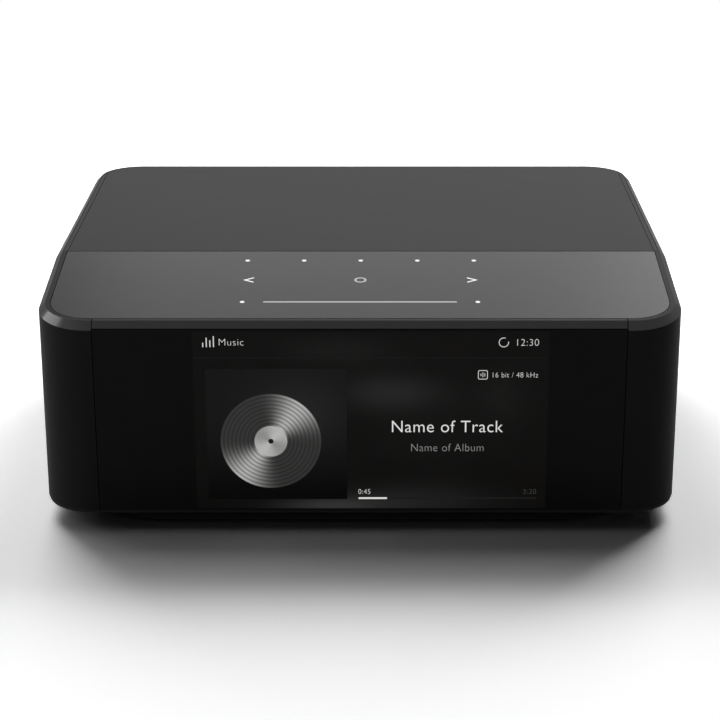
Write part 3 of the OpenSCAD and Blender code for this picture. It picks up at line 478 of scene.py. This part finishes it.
FINISHES["black_glass"] = lit_glass("black_glass")
print("display of", round(SCREEN[1] - SCREEN[0], 1), "by", round(SCREEN[3] - SCREEN[2], 1), "mm")

# %% [markdown]
# ## Every solid gets its finish
# The record names a slot for each node, so the finishes are handed out by slot. The bottom plate is
# bare sheet inside, but its edge shows under the rear panel, so it is painted like that panel. A
# machined edge is never a perfect line: it catches the light because it is rounded a little. The
# packed faces are separate sheets, so they are first welded, then the edges are rounded, and the
# normals are weighted so that flat faces stay flat. The cheeks need none of this, because their cut
# edge is in the solid.

# %% Hand out the finishes and round the edges
PAINTED = {"bottom_plate": "panel_finish"}
WELD = 0.002 * MM
EDGES = {
    "front_trim": 0.12, "front_glass": 0.1, "touch_glass": 0.15, "plinth": 0.15, "base_pad": 0.3,
    "mains_inlet": 0.4, "network_jack": 0.25, "balanced_sockets": 0.4, "optical_socket": 0.3,
    "headphone_rings": 0.2, "phono_shells": 0.2, "mini_jacks": 0.2,
}
EDGE_STEPS, EDGE_ANGLE = 3, math.radians(25)


def round_edges(node, width):
    node.modifiers.new("weld_faces", "WELD").merge_threshold = WELD
    rounded = node.modifiers.new("round_edges", "BEVEL")
    rounded.width, rounded.segments = width * MM, EDGE_STEPS
    rounded.limit_method, rounded.angle_limit = "ANGLE", EDGE_ANGLE
    node.modifiers.new("weigh_normals", "WEIGHTED_NORMAL").keep_sharp = True


slots = {entry["node"]: entry["material_slot"] for entry in frame["record"]["subparts"]}
for name, solid in nodes.items():
    solid.material_slots[0].material = FINISHES[PAINTED.get(name, slots[name])]
    if name in EDGES:
        round_edges(solid, EDGES[name])
print("finishes on", len(nodes), "nodes, rounded edges on", len(EDGES))

# %% [markdown]
# ## Flat marks
# Touch marks and screen signs are thin, flat shapes on a sheet of glass. Each is drawn as outlines
# in the sheet's own two directions and pushed out by a hair. A matrix then lays the drawing on the
# sheet, so the same tools serve the upright front and the slope.

# %% Outlines
def arc(u, v, r, start, sweep, count):
    """Points on a circle, from a start angle through a sweep in degrees, both ends included."""
    turns = (math.radians(start + sweep * i / count) for i in range(count + 1))
    return [(u + r * math.cos(a), v + r * math.sin(a)) for a in turns]


def disc(u, v, r, count=32):
    return arc(u, v, r, 0, 360, count)[:-1]


def bar(u0, v, u1, width, count=10):
    """A line from u0 to u1 with round ends."""
    r = width / 2
    return arc(u1 - r, v, r, -90, 180, count) + arc(u0 + r, v, r, 90, 180, count)


def rounded_box(u0, v0, u1, v1, r, count=6):
    low_u, low_v, high_u, high_v = u0 + r, v0 + r, u1 - r, v1 - r
    middles = ((high_u, high_v), (low_u, high_v), (low_u, low_v), (high_u, low_v))
    points = []
    for quarter, (u, v) in enumerate(middles):
        points += arc(u, v, r, 90 * quarter, 90, count)
    return points


def band(outer, inner):
    """Outlines of the four-sided cells between two loops with the same count of points."""
    pairs = list(zip(outer, inner))
    return [
        [pairs[i - 1][0], pairs[i][0], pairs[i][1], pairs[i - 1][1]] for i in range(len(pairs))
    ]


# %% Thin plates
MARK_T = 0.04
JOIN = 1e-5


def finish_piece(name, mesh, material):
    """Makes a mesh a piece of the casing, with its finish."""
    mesh.materials.append(material)
    piece = bpy.data.objects.new(name, mesh)
    scene.collection.objects.link(piece)
    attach(piece, "casing")
    return piece


def plate(name, outlines, sheet, material, slot, lift=0.0, thick=MARK_T):
    """Outlines in mm, made into one closed plate that lies on a sheet."""
    shape = bmesh.new()
    for outline in outlines:
        shape.faces.new([shape.verts.new((u, v, lift)) for u, v in outline])
    bmesh.ops.remove_doubles(shape, verts=shape.verts, dist=JOIN)
    grown = bmesh.ops.extrude_face_region(shape, geom=shape.faces[:], use_keep_orig=True)
    top = [item for item in grown["geom"] if isinstance(item, bmesh.types.BMVert)]
    bmesh.ops.translate(shape, verts=top, vec=(0, 0, thick))
    bmesh.ops.recalc_face_normals(shape, faces=shape.faces)
    bmesh.ops.transform(shape, matrix=sheet @ Matrix.Scale(MM, 4), verts=shape.verts)
    mesh = bpy.data.meshes.new(name)
    shape.to_mesh(mesh)
    shape.free()
    return finish_piece(name, mesh, material)


# %% The two sheets that carry marks
FACING_UP = 0.9
glass_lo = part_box("front_glass")[0]
FRONT = Matrix(((1, 0, 0, 0), (0, 0, -1, glass_lo.y), (0, 1, 0, 0), (0, 0, 0, 1)))
touch_mesh = nodes["touch_glass"].data
upper_faces = [face for face in touch_mesh.polygons if face.normal.z > FACING_UP]
top_face = max(upper_faces, key=lambda face: face.area)
up = top_face.normal.copy()
climb = Vector((0, up.z, -up.y))
kink = max((touch_mesh.vertices[i].co for i in top_face.vertices), key=lambda co: co.y)
SLOPE = Matrix((
    (1, 0, 0, 0), (0, climb.y, up.y, kink.y), (0, climb.z, up.z, kink.z), (0, 0, 0, 1),
))
print("slope of the touch glass:", round(math.degrees(math.acos(up.z)), 2), "degrees")

# %% [markdown]
# ## The touch marks
# Small windows in the black print let a light guide shine through the touch glass: five preset
# dots, an arrow each way, a ring between them, and a slider with a dot at each end. The light isn't
# quite even, because it comes from a few lamps along the guide, so its level wavers.

# %% A light that shows through print
LAMP_BLUE = 0.985


def lamp_light(name, level, waver=0.12, size=9):
    """A light of a level that falls by up to its waver, in clouds of a size in mm."""
    material, board = open_finish(name)
    shine = level - level * waver * cloud(board, place_mm(board), size)
    close_finish(
        board,
        Base_Color=grey(10),
        Roughness=0.3,
        Specular_IOR_Level=0.06,
        Emission_Color=as_grey(board, shine, LAMP_BLUE),
        Emission_Strength=1.0,
    )
    return material


# %% Dots, arrows, ring and slider
bright_mark = lamp_light("bright_mark", 0.92)
dim_mark = lamp_light("dim_mark", 0.42)
DOT_ROW, ARROW_ROW, SLIDER_ROW = -8.3, -25.1, -43.3
DOT_STEP, DOT_R = 20.2, 0.8
ARROW_X, ARROW_W, ARROW_D, ARROW_T, ARROW_SLANT = 39.2, 3.7, 4.4, 0.75, 1.5
RING_R, RING_HOLE_R = 2.15, 1.42
SLIDER_HALF, SLIDER_W, SLIDER_DOT = 33.2, 0.9, 40.3


def arrow(side):
    """An open arrow head that points outwards."""
    tip, tail = side * (ARROW_X + ARROW_W / 2), side * (ARROW_X - ARROW_W / 2)
    inner_tip, half = tip - side * ARROW_T * ARROW_SLANT, ARROW_D / 2
    upper = [(tip, 0), (tail, half), (tail, half - ARROW_T)]
    lower = [(inner_tip, 0), (tail, ARROW_T - half), (tail, -half)]
    return [(u, ARROW_ROW + v) for u, v in upper + lower]


presets = [disc(i * DOT_STEP, DOT_ROW, DOT_R) for i in range(-2, 3)]
slider_ends = [disc(side * SLIDER_DOT, SLIDER_ROW, DOT_R) for side in (-1, 1)]
slider = [bar(-SLIDER_HALF, SLIDER_ROW, SLIDER_HALF, SLIDER_W)]
ring = band(disc(0, ARROW_ROW, RING_R), disc(0, ARROW_ROW, RING_HOLE_R))
plate("touch_dots", presets + slider_ends, SLOPE, bright_mark, "clear_guide")
plate("skip_arrows", [arrow(-1), arrow(1)], SLOPE, bright_mark, "clear_guide")
plate("play_ring", ring, SLOPE, dim_mark, "clear_guide")
plate("volume_slider", slider, SLOPE, dim_mark, "clear_guide")
print("touch marks:", len(presets + slider_ends), "dots, 2 arrows, 1 ring, 1 slider")

# %% [markdown]
# ## Words on the display
# Lettering on a display is lit dots in an even sans-serif. Blender has such a font built in, so a
# text curve gives the letters, and its offset gives the weight. The words are plain place holders.
# A text is measured by its capitals and set to the width of its place, then turned into a mesh as
# thick as the other marks.

# %% Lettering
LETTER_SPACE, LETTER_STEPS, LETTER_JOIN = 1.06, 6, 1e-8


def letter_mesh(words, weight):
    curve = bpy.data.curves.new("letters", "FONT")
    curve.body, curve.offset = words, weight
    curve.space_character, curve.resolution_u = LETTER_SPACE, LETTER_STEPS
    curve.extrude = MARK_T / 2
    holder = bpy.data.objects.new("letters", curve)
    scene.collection.objects.link(holder)
    view = bpy.context.evaluated_depsgraph_get()
    mesh = bpy.data.meshes.new_from_object(holder.evaluated_get(view))
    bpy.data.objects.remove(holder)
    return mesh


def reach(mesh, axis):
    values = [point.co[axis] for point in mesh.vertices]
    return min(values), max(values)


CAPITAL = reach(letter_mesh("H", 0.0), 1)[1]


def lettering(name, words, u0, u1, v, cap, material, weight):
    """Words between u0 and u1, on a baseline at v, with capitals of a height."""
    mesh = letter_mesh(words, weight)
    left, right = reach(mesh, 0)
    wide, tall = (u1 - u0) / (right - left), cap / CAPITAL
    sized = Matrix.Diagonal((wide, tall, 1, 1))
    place = Matrix.Translation((u0 - left * wide, v, MARK_T / 2)) @ sized
    shape = bmesh.new()
    shape.from_mesh(mesh)
    bmesh.ops.transform(shape, matrix=FRONT @ Matrix.Scale(MM, 4) @ place, verts=shape.verts)
    bmesh.ops.remove_doubles(shape, verts=shape.verts, dist=LETTER_JOIN)
    shape.to_mesh(mesh)
    shape.free()
    print(f"{words!r}: letter width to height {wide / tall:.2f}")
    return finish_piece(name, mesh, material)


# %% Words and numbers of the display
STEADY = 0.06
bright_text = lamp_light("bright_text", 0.72, STEADY)
white_text = lamp_light("white_text", 0.62, STEADY)
soft_text = lamp_light("soft_text", 0.26, STEADY)
faint_text = lamp_light("faint_text", 0.042, STEADY)
WORDS = {
    "source_word": ("Music", -47.3, -39.0, 67.9, 2.4, white_text, -0.018),
    "clock_digits": ("12:30", 52.9, 60.2, 67.8, 2.4, white_text, -0.018),
    "format_words": ("16 bit / 48 kHz", 44.9, 60.2, 56.5, 1.85, white_text, -0.016),
    "track_words": ("Name of Track", 10.9, 48.7, 36.7, 4.2, bright_text, -0.006),
    "album_words": ("Name of Album", 17.5, 42.2, 29.7, 2.8, soft_text, -0.018),
    "elapsed_digits": ("0:45", -0.6, 3.5, 13.9, 1.8, white_text, -0.014),
    "total_digits": ("3:20", 56.1, 60.6, 13.9, 1.8, faint_text, -0.008),
}
for name, row in WORDS.items():
    lettering(name, *row)

# %% [markdown]
# ## Signs on the display
# The header has a hairline, a sign for the source and a sign beside the clock, and a progress bar
# runs along the bottom. They are drawn with the same outlines as the touch marks, as general signs
# that any player could show: level bars, an open ring, and a framed wave.

# %% Places and sizes of the signs
UNEVEN = 0.3
rule_line = lamp_light("rule_line", 0.008, UNEVEN)
track_line = lamp_light("track_line", 0.011, UNEVEN)
RULE_FROM, RULE_TO, RULE_LOW, RULE_HIGH = -56.0, 63.6, 63.3, 63.55
BARS_U, BARS_V, BARS_STEP, BARS_W, BARS_TALL = -52.7, 67.3, 1.2, 0.38, (1.6, 3.4, 2.5, 3.9)
CLOCK_RING = (48.4, 69.0, 1.72, 1.46, 70, 300)
BADGE, BADGE_INSIDE = (39.9, 55.8, 43.2, 59.1, 0.6), (40.13, 56.03, 42.97, 58.87, 0.4)
WAVE_U, WAVE_V, WAVE_STEP, WAVE_W, WAVE_HALVES = 40.9, 57.45, 0.65, 0.22, (0.5, 0.9, 0.6)
PROGRESS_V, PROGRESS_FROM, PROGRESS_NOW, PROGRESS_TO = 12.35, -0.6, 9.3, 60.7
TRACK_W, PROGRESS_W = 0.7, 0.66
UPRIGHT_ROUND, UPRIGHT_STEPS = 0.45, 4


def open_ring(u, v, r_out, r_in, start, sweep, count=28):
    outer = arc(u, v, r_out, start, sweep, count)
    inner = arc(u, v, r_in, start, sweep, count)
    return [[outer[i], outer[i + 1], inner[i + 1], inner[i]] for i in range(count)]


def upright(u, v0, v1, width):
    half, r = width / 2, width * UPRIGHT_ROUND
    return rounded_box(u - half, v0, u + half, v1, r, UPRIGHT_STEPS)


def screen_plate(name, outlines, material, **sizes):
    plate(name, outlines, FRONT, material, "display_face", **sizes)


# %% Header, badge and progress bar
rule = [(RULE_FROM, RULE_LOW), (RULE_TO, RULE_LOW), (RULE_TO, RULE_HIGH), (RULE_FROM, RULE_HIGH)]
level_bars = [
    upright(BARS_U + BARS_STEP * i, BARS_V, BARS_V + tall, BARS_W)
    for i, tall in enumerate(BARS_TALL)
]
badge_wave = [
    upright(WAVE_U + WAVE_STEP * i, WAVE_V - half, WAVE_V + half, WAVE_W)
    for i, half in enumerate(WAVE_HALVES)
]
badge = band(rounded_box(*BADGE), rounded_box(*BADGE_INSIDE)) + badge_wave
track = bar(PROGRESS_FROM, PROGRESS_V, PROGRESS_TO, TRACK_W)
played = bar(PROGRESS_FROM, PROGRESS_V, PROGRESS_NOW, PROGRESS_W)
screen_plate("header_rule", [rule], rule_line)
screen_plate("source_sign", level_bars, white_text)
screen_plate("clock_sign", open_ring(*CLOCK_RING), white_text)
screen_plate("format_badge", badge, white_text)
screen_plate("progress_track", [track], track_line, thick=MARK_T / 2)
screen_plate("progress_bar", [played], bright_text)
print("signs:", len(level_bars), "level bars, a ring, a framed wave, a rule and a progress bar")

# %% [markdown]
# ## The cover picture
# A player shows the cover of what it plays. Here it is a plain still life in greys: a turning disc
# on a dark ground, drawn with its own grooves, label and sheen. The disc is a real ring mesh over a
# dark square, and the sheen is worked out from the angle round its middle, as light on grooves is.

# %% Dark ground
COVER, COVER_ROUND = (-52.2, 12.0, -4.4, 59.6), 0.5
DISC_AT, DISC_R, LABEL_R, HOLE_R = (-30.4, 33.4), 17.2, 5.6, 0.9
GROUND_LEVEL, HAZE, HAZE_CLOUD = 0.0006, 0.0012, 12
POOL = (DISC_AT[0] + 9, DISC_AT[1] + 10, 15, 12, 0.009)


def close_picture(board, light):
    """Ends the finish of a picture that glows behind the glass."""
    close_finish(
        board,
        Base_Color=grey(5),
        Roughness=0.08,
        Specular_IOR_Level=0.1,
        Emission_Color=light,
        Emission_Strength=1.0,
    )


def cover_ground(name):
    material, board = open_finish(name)
    place = place_mm(board)
    x, z = part(board, place, "X"), part(board, place, "Z")
    haze = cloud(board, place, HAZE_CLOUD) * HAZE
    close_picture(board, as_grey(board, GROUND_LEVEL + haze + patch(board, x, z, POOL)))
    return material


# %% Grooved disc
SHEEN_TURN, SHEEN_ARMS, SHEEN_NARROW = 0.9, 2.0, 5.0
GROOVES, DISC_BLUE = 4.6, 0.98
DISC_LEVEL, GROOVE_LEVEL, SHEEN_LEVEL, SHEEN_GROOVE = 0.018, 0.012, 0.2, 0.22
LABEL_LEVEL, LABEL_SHEEN, LABEL_MOTTLE, LABEL_CLOUD = 0.22, 0.2, 0.05, 2.5


def grooved_disc(name):
    material, board = open_finish(name)
    place = place_mm(board)
    u = part(board, place, "X") - DISC_AT[0]
    v = part(board, place, "Z") - DISC_AT[1]
    r = maths(board, "POWER", u * u + v * v, 0.5)
    turn = maths(board, "ARCTAN2", v, u)
    wave = maths(board, "COSINE", (turn - SHEEN_TURN) * SHEEN_ARMS) * 0.5 + 0.5
    sheen = maths(board, "POWER", wave, SHEEN_NARROW)
    groove = maths(board, "SINE", r * GROOVES) * 0.5 + 0.5
    field = DISC_LEVEL + sheen * (SHEEN_LEVEL + groove * SHEEN_GROOVE) + groove * GROOVE_LEVEL
    mottle = cloud(board, place, LABEL_CLOUD) * LABEL_MOTTLE
    label = LABEL_LEVEL + wave * LABEL_SHEEN + mottle
    on_label = maths(board, "LESS_THAN", r, LABEL_R)
    shade = field * (1 - on_label) + label * on_label
    close_picture(board, as_grey(board, shade, DISC_BLUE))
    return material


# %% Disc on the ground
LABEL_GAP, DISC_POINTS = 0.01, 72
disc_cells = []
for small, large in ((HOLE_R, LABEL_R), (LABEL_R + LABEL_GAP, DISC_R)):
    disc_cells += band(disc(*DISC_AT, large, DISC_POINTS), disc(*DISC_AT, small, DISC_POINTS))
screen_plate("cover_ground", [rounded_box(*COVER, COVER_ROUND)], cover_ground("cover_ground"))
screen_plate("cover_disc", disc_cells, grooved_disc("cover_disc"), lift=MARK_T)
print("cover of", round(COVER[2] - COVER[0], 1), "mm with a disc of", 2 * DISC_R, "mm")

# %% [markdown]
# ## The line beside the rim
# On the real object the field of the cover ends in a fine dark joint beside the rim, in line with
# the sides of the touch glass. The solid carries the cover on to the rim, so the joint is scored
# into a copy of its mesh. The triangles of each flat face are joined first, so that three cuts
# along each side leave clean strips, and the middle cut is pushed in to a sharp groove. A painted
# line would be simpler, but it wouldn't change with the light as a groove does.

# %% Score the cover
SCORE_W, SCORE_DEEP = 0.22, 0.5
FLAT_ANGLE = math.radians(0.5)


def score(shape, x, top):
    """Cuts three lines at x and pushes the top of the middle one in."""
    for aside in (-SCORE_W / 2, 0, SCORE_W / 2):
        whole = shape.verts[:] + shape.edges[:] + shape.faces[:]
        cut_at = (x + aside * MM, 0, 0)
        bmesh.ops.bisect_plane(shape, geom=whole, dist=WELD, plane_co=cut_at, plane_no=(1, 0, 0))
    for point in shape.verts:
        if abs(point.co.x - x) < WELD and point.co.z > top - WELD:
            point.co.z -= SCORE_DEEP * MM


cover_shape = bmesh.new()
cover_shape.from_mesh(nodes["top_cover"].data)
bmesh.ops.remove_doubles(cover_shape, verts=cover_shape.verts, dist=WELD)
bmesh.ops.dissolve_limit(
    cover_shape, angle_limit=FLAT_ANGLE, verts=cover_shape.verts, edges=cover_shape.edges
)
touch_lo, touch_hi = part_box("touch_glass")
for side_x in (touch_lo.x, touch_hi.x):
    score(cover_shape, side_x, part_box("top_cover")[1].z)
for face in cover_shape.faces:
    face.smooth = False
cover_mesh = bpy.data.meshes.new("scored_cover")
cover_shape.to_mesh(cover_mesh)
cover_shape.free()
cover = finish_piece("scored_cover", cover_mesh, FINISHES["cover_finish"])
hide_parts("top_cover")
print("lines scored", round(touch_hi.x / MM, 1), "mm to each side of the middle")

# %% [markdown]
# ## Screw heads
# The solids hold the rear panel with plain round heads. A real pan head is domed and has a cross
# for the driver, and the rear view is close enough to show it. Cutting the cross with a boolean
# would leave rough meshes, so the top is filled between the rim and the cross, and the cross is
# pushed in.

# %% Places of the screws
def screw_places(name, apart=7 * MM):
    """The middle of each screw's outer end, its radius and its length along Y."""
    found = []
    for vertex in nodes[name].data.vertices:
        near = [points for at, points in found if (at - vertex.co.xz).length < apart]
        if near:
            near[0].append(vertex.co.copy())
        else:
            found.append((vertex.co.xz.copy(), [vertex.co.copy()]))
    places = []
    for _, points in found:
        (x0, x1), (y0, y1), (z0, z1) = (
            (min(point[i] for point in points), max(point[i] for point in points))
            for i in range(3)
        )
        places.append((Vector(((x0 + x1) / 2, y1, (z0 + z1) / 2)), (x1 - x0) / 2, y1 - y0))
    return places


places = screw_places("panel_screws")
print(len(places), "screws of", round(places[0][2] / MM, 1), "mm")

# %% Pan heads with a driver cross
HEAD_T, STEM_SHARE = 1.5, 0.5
CROSS_W, CROSS_R, CROSS_DEEP, CROSS_TAPER = 0.75, 1.45, 0.9, 0.8
DOME = ((1.0, -0.75), (0.94, -0.35), (0.8, -0.1), (0.66, 0.0))


def loop(shape, points):
    """A closed loop through points, as its vertices and its edges."""
    verts = [shape.verts.new(point) for point in points]
    return verts, [shape.edges.new((verts[i - 1], verts[i])) for i in range(len(verts))]


def circle_at(r, y, count=32):
    return [(u, y, v) for u, v in disc(0, 0, r, count)]


def cross_at(y, size=1.0):
    a, b = CROSS_W / 2 * size, CROSS_R * size
    right, top = [(b, -a), (b, a), (a, a)], [(a, b), (-a, b), (-a, a)]
    left, bottom = [(-b, a), (-b, -a), (-a, -a)], [(-a, -b), (a, -b), (a, -a)]
    return [(u, y, v) for u, v in right + top + left + bottom]


def pan_screw(shape, middle, r, long):
    """Adds one screw, with its stem inwards from the middle of its outer end."""
    screw = bmesh.new()
    stem_r = r * STEM_SHARE
    steps = [(stem_r, -long), (stem_r, -HEAD_T), (r, -HEAD_T)]
    steps += [(r * share, y) for share, y in DOME]
    loops = [loop(screw, circle_at(*step)) for step in steps]
    for low, high in zip(loops, loops[1:]):
        bmesh.ops.bridge_loops(screw, edges=low[1] + high[1])
    screw.faces.new(loops[0][0])
    mouth = loop(screw, cross_at(0))
    foot = loop(screw, cross_at(-CROSS_DEEP, CROSS_TAPER))
    bmesh.ops.triangle_fill(screw, use_beauty=True, edges=loops[-1][1] + mouth[1])
    bmesh.ops.bridge_loops(screw, edges=mouth[1] + foot[1])
    screw.faces.new(foot[0])
    bmesh.ops.recalc_face_normals(screw, faces=screw.faces)
    at_place = Matrix.Translation(middle) @ Matrix.Scale(MM, 4)
    bmesh.ops.transform(screw, matrix=at_place, verts=screw.verts)
    mesh = bpy.data.meshes.new("one_screw")
    screw.to_mesh(mesh)
    screw.free()
    shape.from_mesh(mesh)
    bpy.data.meshes.remove(mesh)


screws = bmesh.new()
for middle, r, long in places:
    pan_screw(screws, middle, r / MM, long / MM)
screw_mesh = bpy.data.meshes.new("panel_screw_heads")
screws.to_mesh(screw_mesh)
screws.free()
heads = finish_piece("panel_screw_heads", screw_mesh, FINISHES["screw_black"])
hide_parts("panel_screws")
print(len(places), "domed heads, each with a driver cross")

# %% [markdown]
# ## The studio
# The picture has a white ground, wide soft lights high behind the object and little light from the
# front, so the shadow falls towards the camera. A white dome would light the front as well, so four
# lamps behind do most of the work and the sky only fills. The floor is a sheet of paper that takes
# the shadow near the object and fades to plain white further off, for the camera and in mirror
# images alone, so no bright wall is needed. In a studio, flags keep a lamp off the paper or off the
# object. Here a lamp has a list of what it reaches: six lamps light the object and leave the paper
# out, and five light the paper alone, so that the sheen on the object and the soft shade round it
# are set apart.

# %% Floor paper
WHITE = (1, 1, 1, 1)
FLOOR_TONE, FLOOR_SEEN, FLOOR_MIRRORED = 0.71, 1.4, 1.25
PAPER_NEAR, PAPER_FADE = 0.4, 0.5
FLOOR_R, FLOOR_POINTS, FLOOR_DROP = 9.0, 96, 0.02


def seen_rays(board):
    """The rays of the camera, and those of mirror images with those that pass through glass."""
    kinds = ("Camera", "Glossy", "Transmission")
    camera_ray, mirror_ray, through_ray = (
        board.add("LightPath", out=f"Is {kind} Ray") for kind in kinds
    )
    return camera_ray, mirror_ray + through_ray


floor_paint, board = open_finish("floor_paint")
direct, mirrored = seen_rays(board)
brighter = direct * (FLOOR_SEEN - FLOOR_TONE) + mirrored * (FLOOR_MIRRORED - FLOOR_TONE)
paper = board.add("BsdfDiffuse", {}, {"Color": as_grey(board, FLOOR_TONE + brighter)})
from_middle = board.add("TexCoord", out="Object")
away = board.add("VectorMath", {"operation": "LENGTH"}, {0: from_middle}, out="Value")
far = ramp_up(board, away, PAPER_NEAR, PAPER_FADE) * (direct + mirrored)
plain_white = board.add("Emission", {}, {"Color": WHITE})
floor_surface = board.add("MixShader", {}, {0: far, 1: paper, 2: plain_white})
board.add("OutputMaterial", {}, {"Surface": floor_surface})

floor_shape = bmesh.new()
bmesh.ops.create_circle(floor_shape, cap_ends=True, segments=FLOOR_POINTS, radius=FLOOR_R)
floor_mesh = bpy.data.meshes.new("floor")
floor_shape.to_mesh(floor_mesh)
floor_shape.free()
floor_mesh.materials.append(floor_paint)
floor = bpy.data.objects.new("floor", floor_mesh)
floor.location.z = -FLOOR_DROP * MM
scene.collection.objects.link(floor)
print("paper fades to white from", PAPER_NEAR, "to", PAPER_NEAR + PAPER_FADE, "m off the middle")

# %% Sky
FILL = 0.01
sky = bpy.data.worlds.new("studio_sky")
sky.use_nodes = True
board = Board(sky.node_tree)
direct, mirrored = seen_rays(board)
strength = FILL + (direct + mirrored) * (1 - FILL)
glow = board.add("Background", {}, {"Color": WHITE, "Strength": strength})
board.add("OutputWorld", {}, {"Surface": glow})
scene.world = sky
print("sky lights the object at", FILL, "of what the camera sees")

# %% Lamps
def soft_lamp(name, turn, rise, away, size, shine):
    """A lamp aimed at the object. Its turn is counted from straight behind, towards the right."""
    light = bpy.data.lights.new(name, "AREA")
    light.shape, light.size, light.size_y = "RECTANGLE", *size
    light.energy = shine * math.pi * size[0] * size[1]
    lamp = bpy.data.objects.new(name, light)
    around, above = math.radians(turn), math.radians(rise)
    lamp.location = Vector((
        math.sin(around) * math.cos(above), math.cos(around) * math.cos(above), math.sin(above),
    )) * away
    lamp.rotation_euler = lamp.location.to_track_quat("Z", "Y").to_euler()
    scene.collection.objects.link(lamp)
    return lamp


object_lamps = (
    soft_lamp("back_middle", 2, 42, 1.7, (0.8, 1.2), 2.9),
    soft_lamp("back_right", 28, 42, 1.7, (0.8, 1.2), 4.5),
    soft_lamp("back_low", 2, 24, 1.8, (1.6, 0.5), 1.7),
    soft_lamp("high_left", -42, 58, 1.6, (0.8, 0.9), 2.4),
    soft_lamp("left_strip", -81, 34, 1.62, (0.95, 0.9), 5.8),
    soft_lamp("front_fill", -140, 30, 1.6, (0.8, 0.8), 3.6),
)
paper_lamps = (
    soft_lamp("paper_back_left", -24, 42, 1.7, (0.8, 1.2), 5.5),
    soft_lamp("paper_back_right", 28, 42, 1.7, (0.8, 1.2), 6.6),
    soft_lamp("paper_top", 0, 74, 1.6, (1.2, 0.5), 0.95),
    soft_lamp("paper_left", -85, 34, 1.62, (1.1, 0.9), 0.53),
    soft_lamp("paper_high_left", -42, 58, 1.6, (0.8, 0.9), 1.35),
)


def floor_share(name, state, lamps):
    """Lets lamps reach the floor alone, with INCLUDE, or all but the floor, with EXCLUDE."""
    reached = bpy.data.collections.new(name)
    reached.objects.link(floor)
    reached.collection_objects[0].light_linking.link_state = state
    for lamp in lamps:
        lamp.light_linking.receiver_collection = reached


floor_share("floor_alone", "INCLUDE", paper_lamps)
floor_share("all_but_floor", "EXCLUDE", object_lamps)
print("studio of", len(object_lamps), "lamps for the object and", len(paper_lamps), "for the paper")
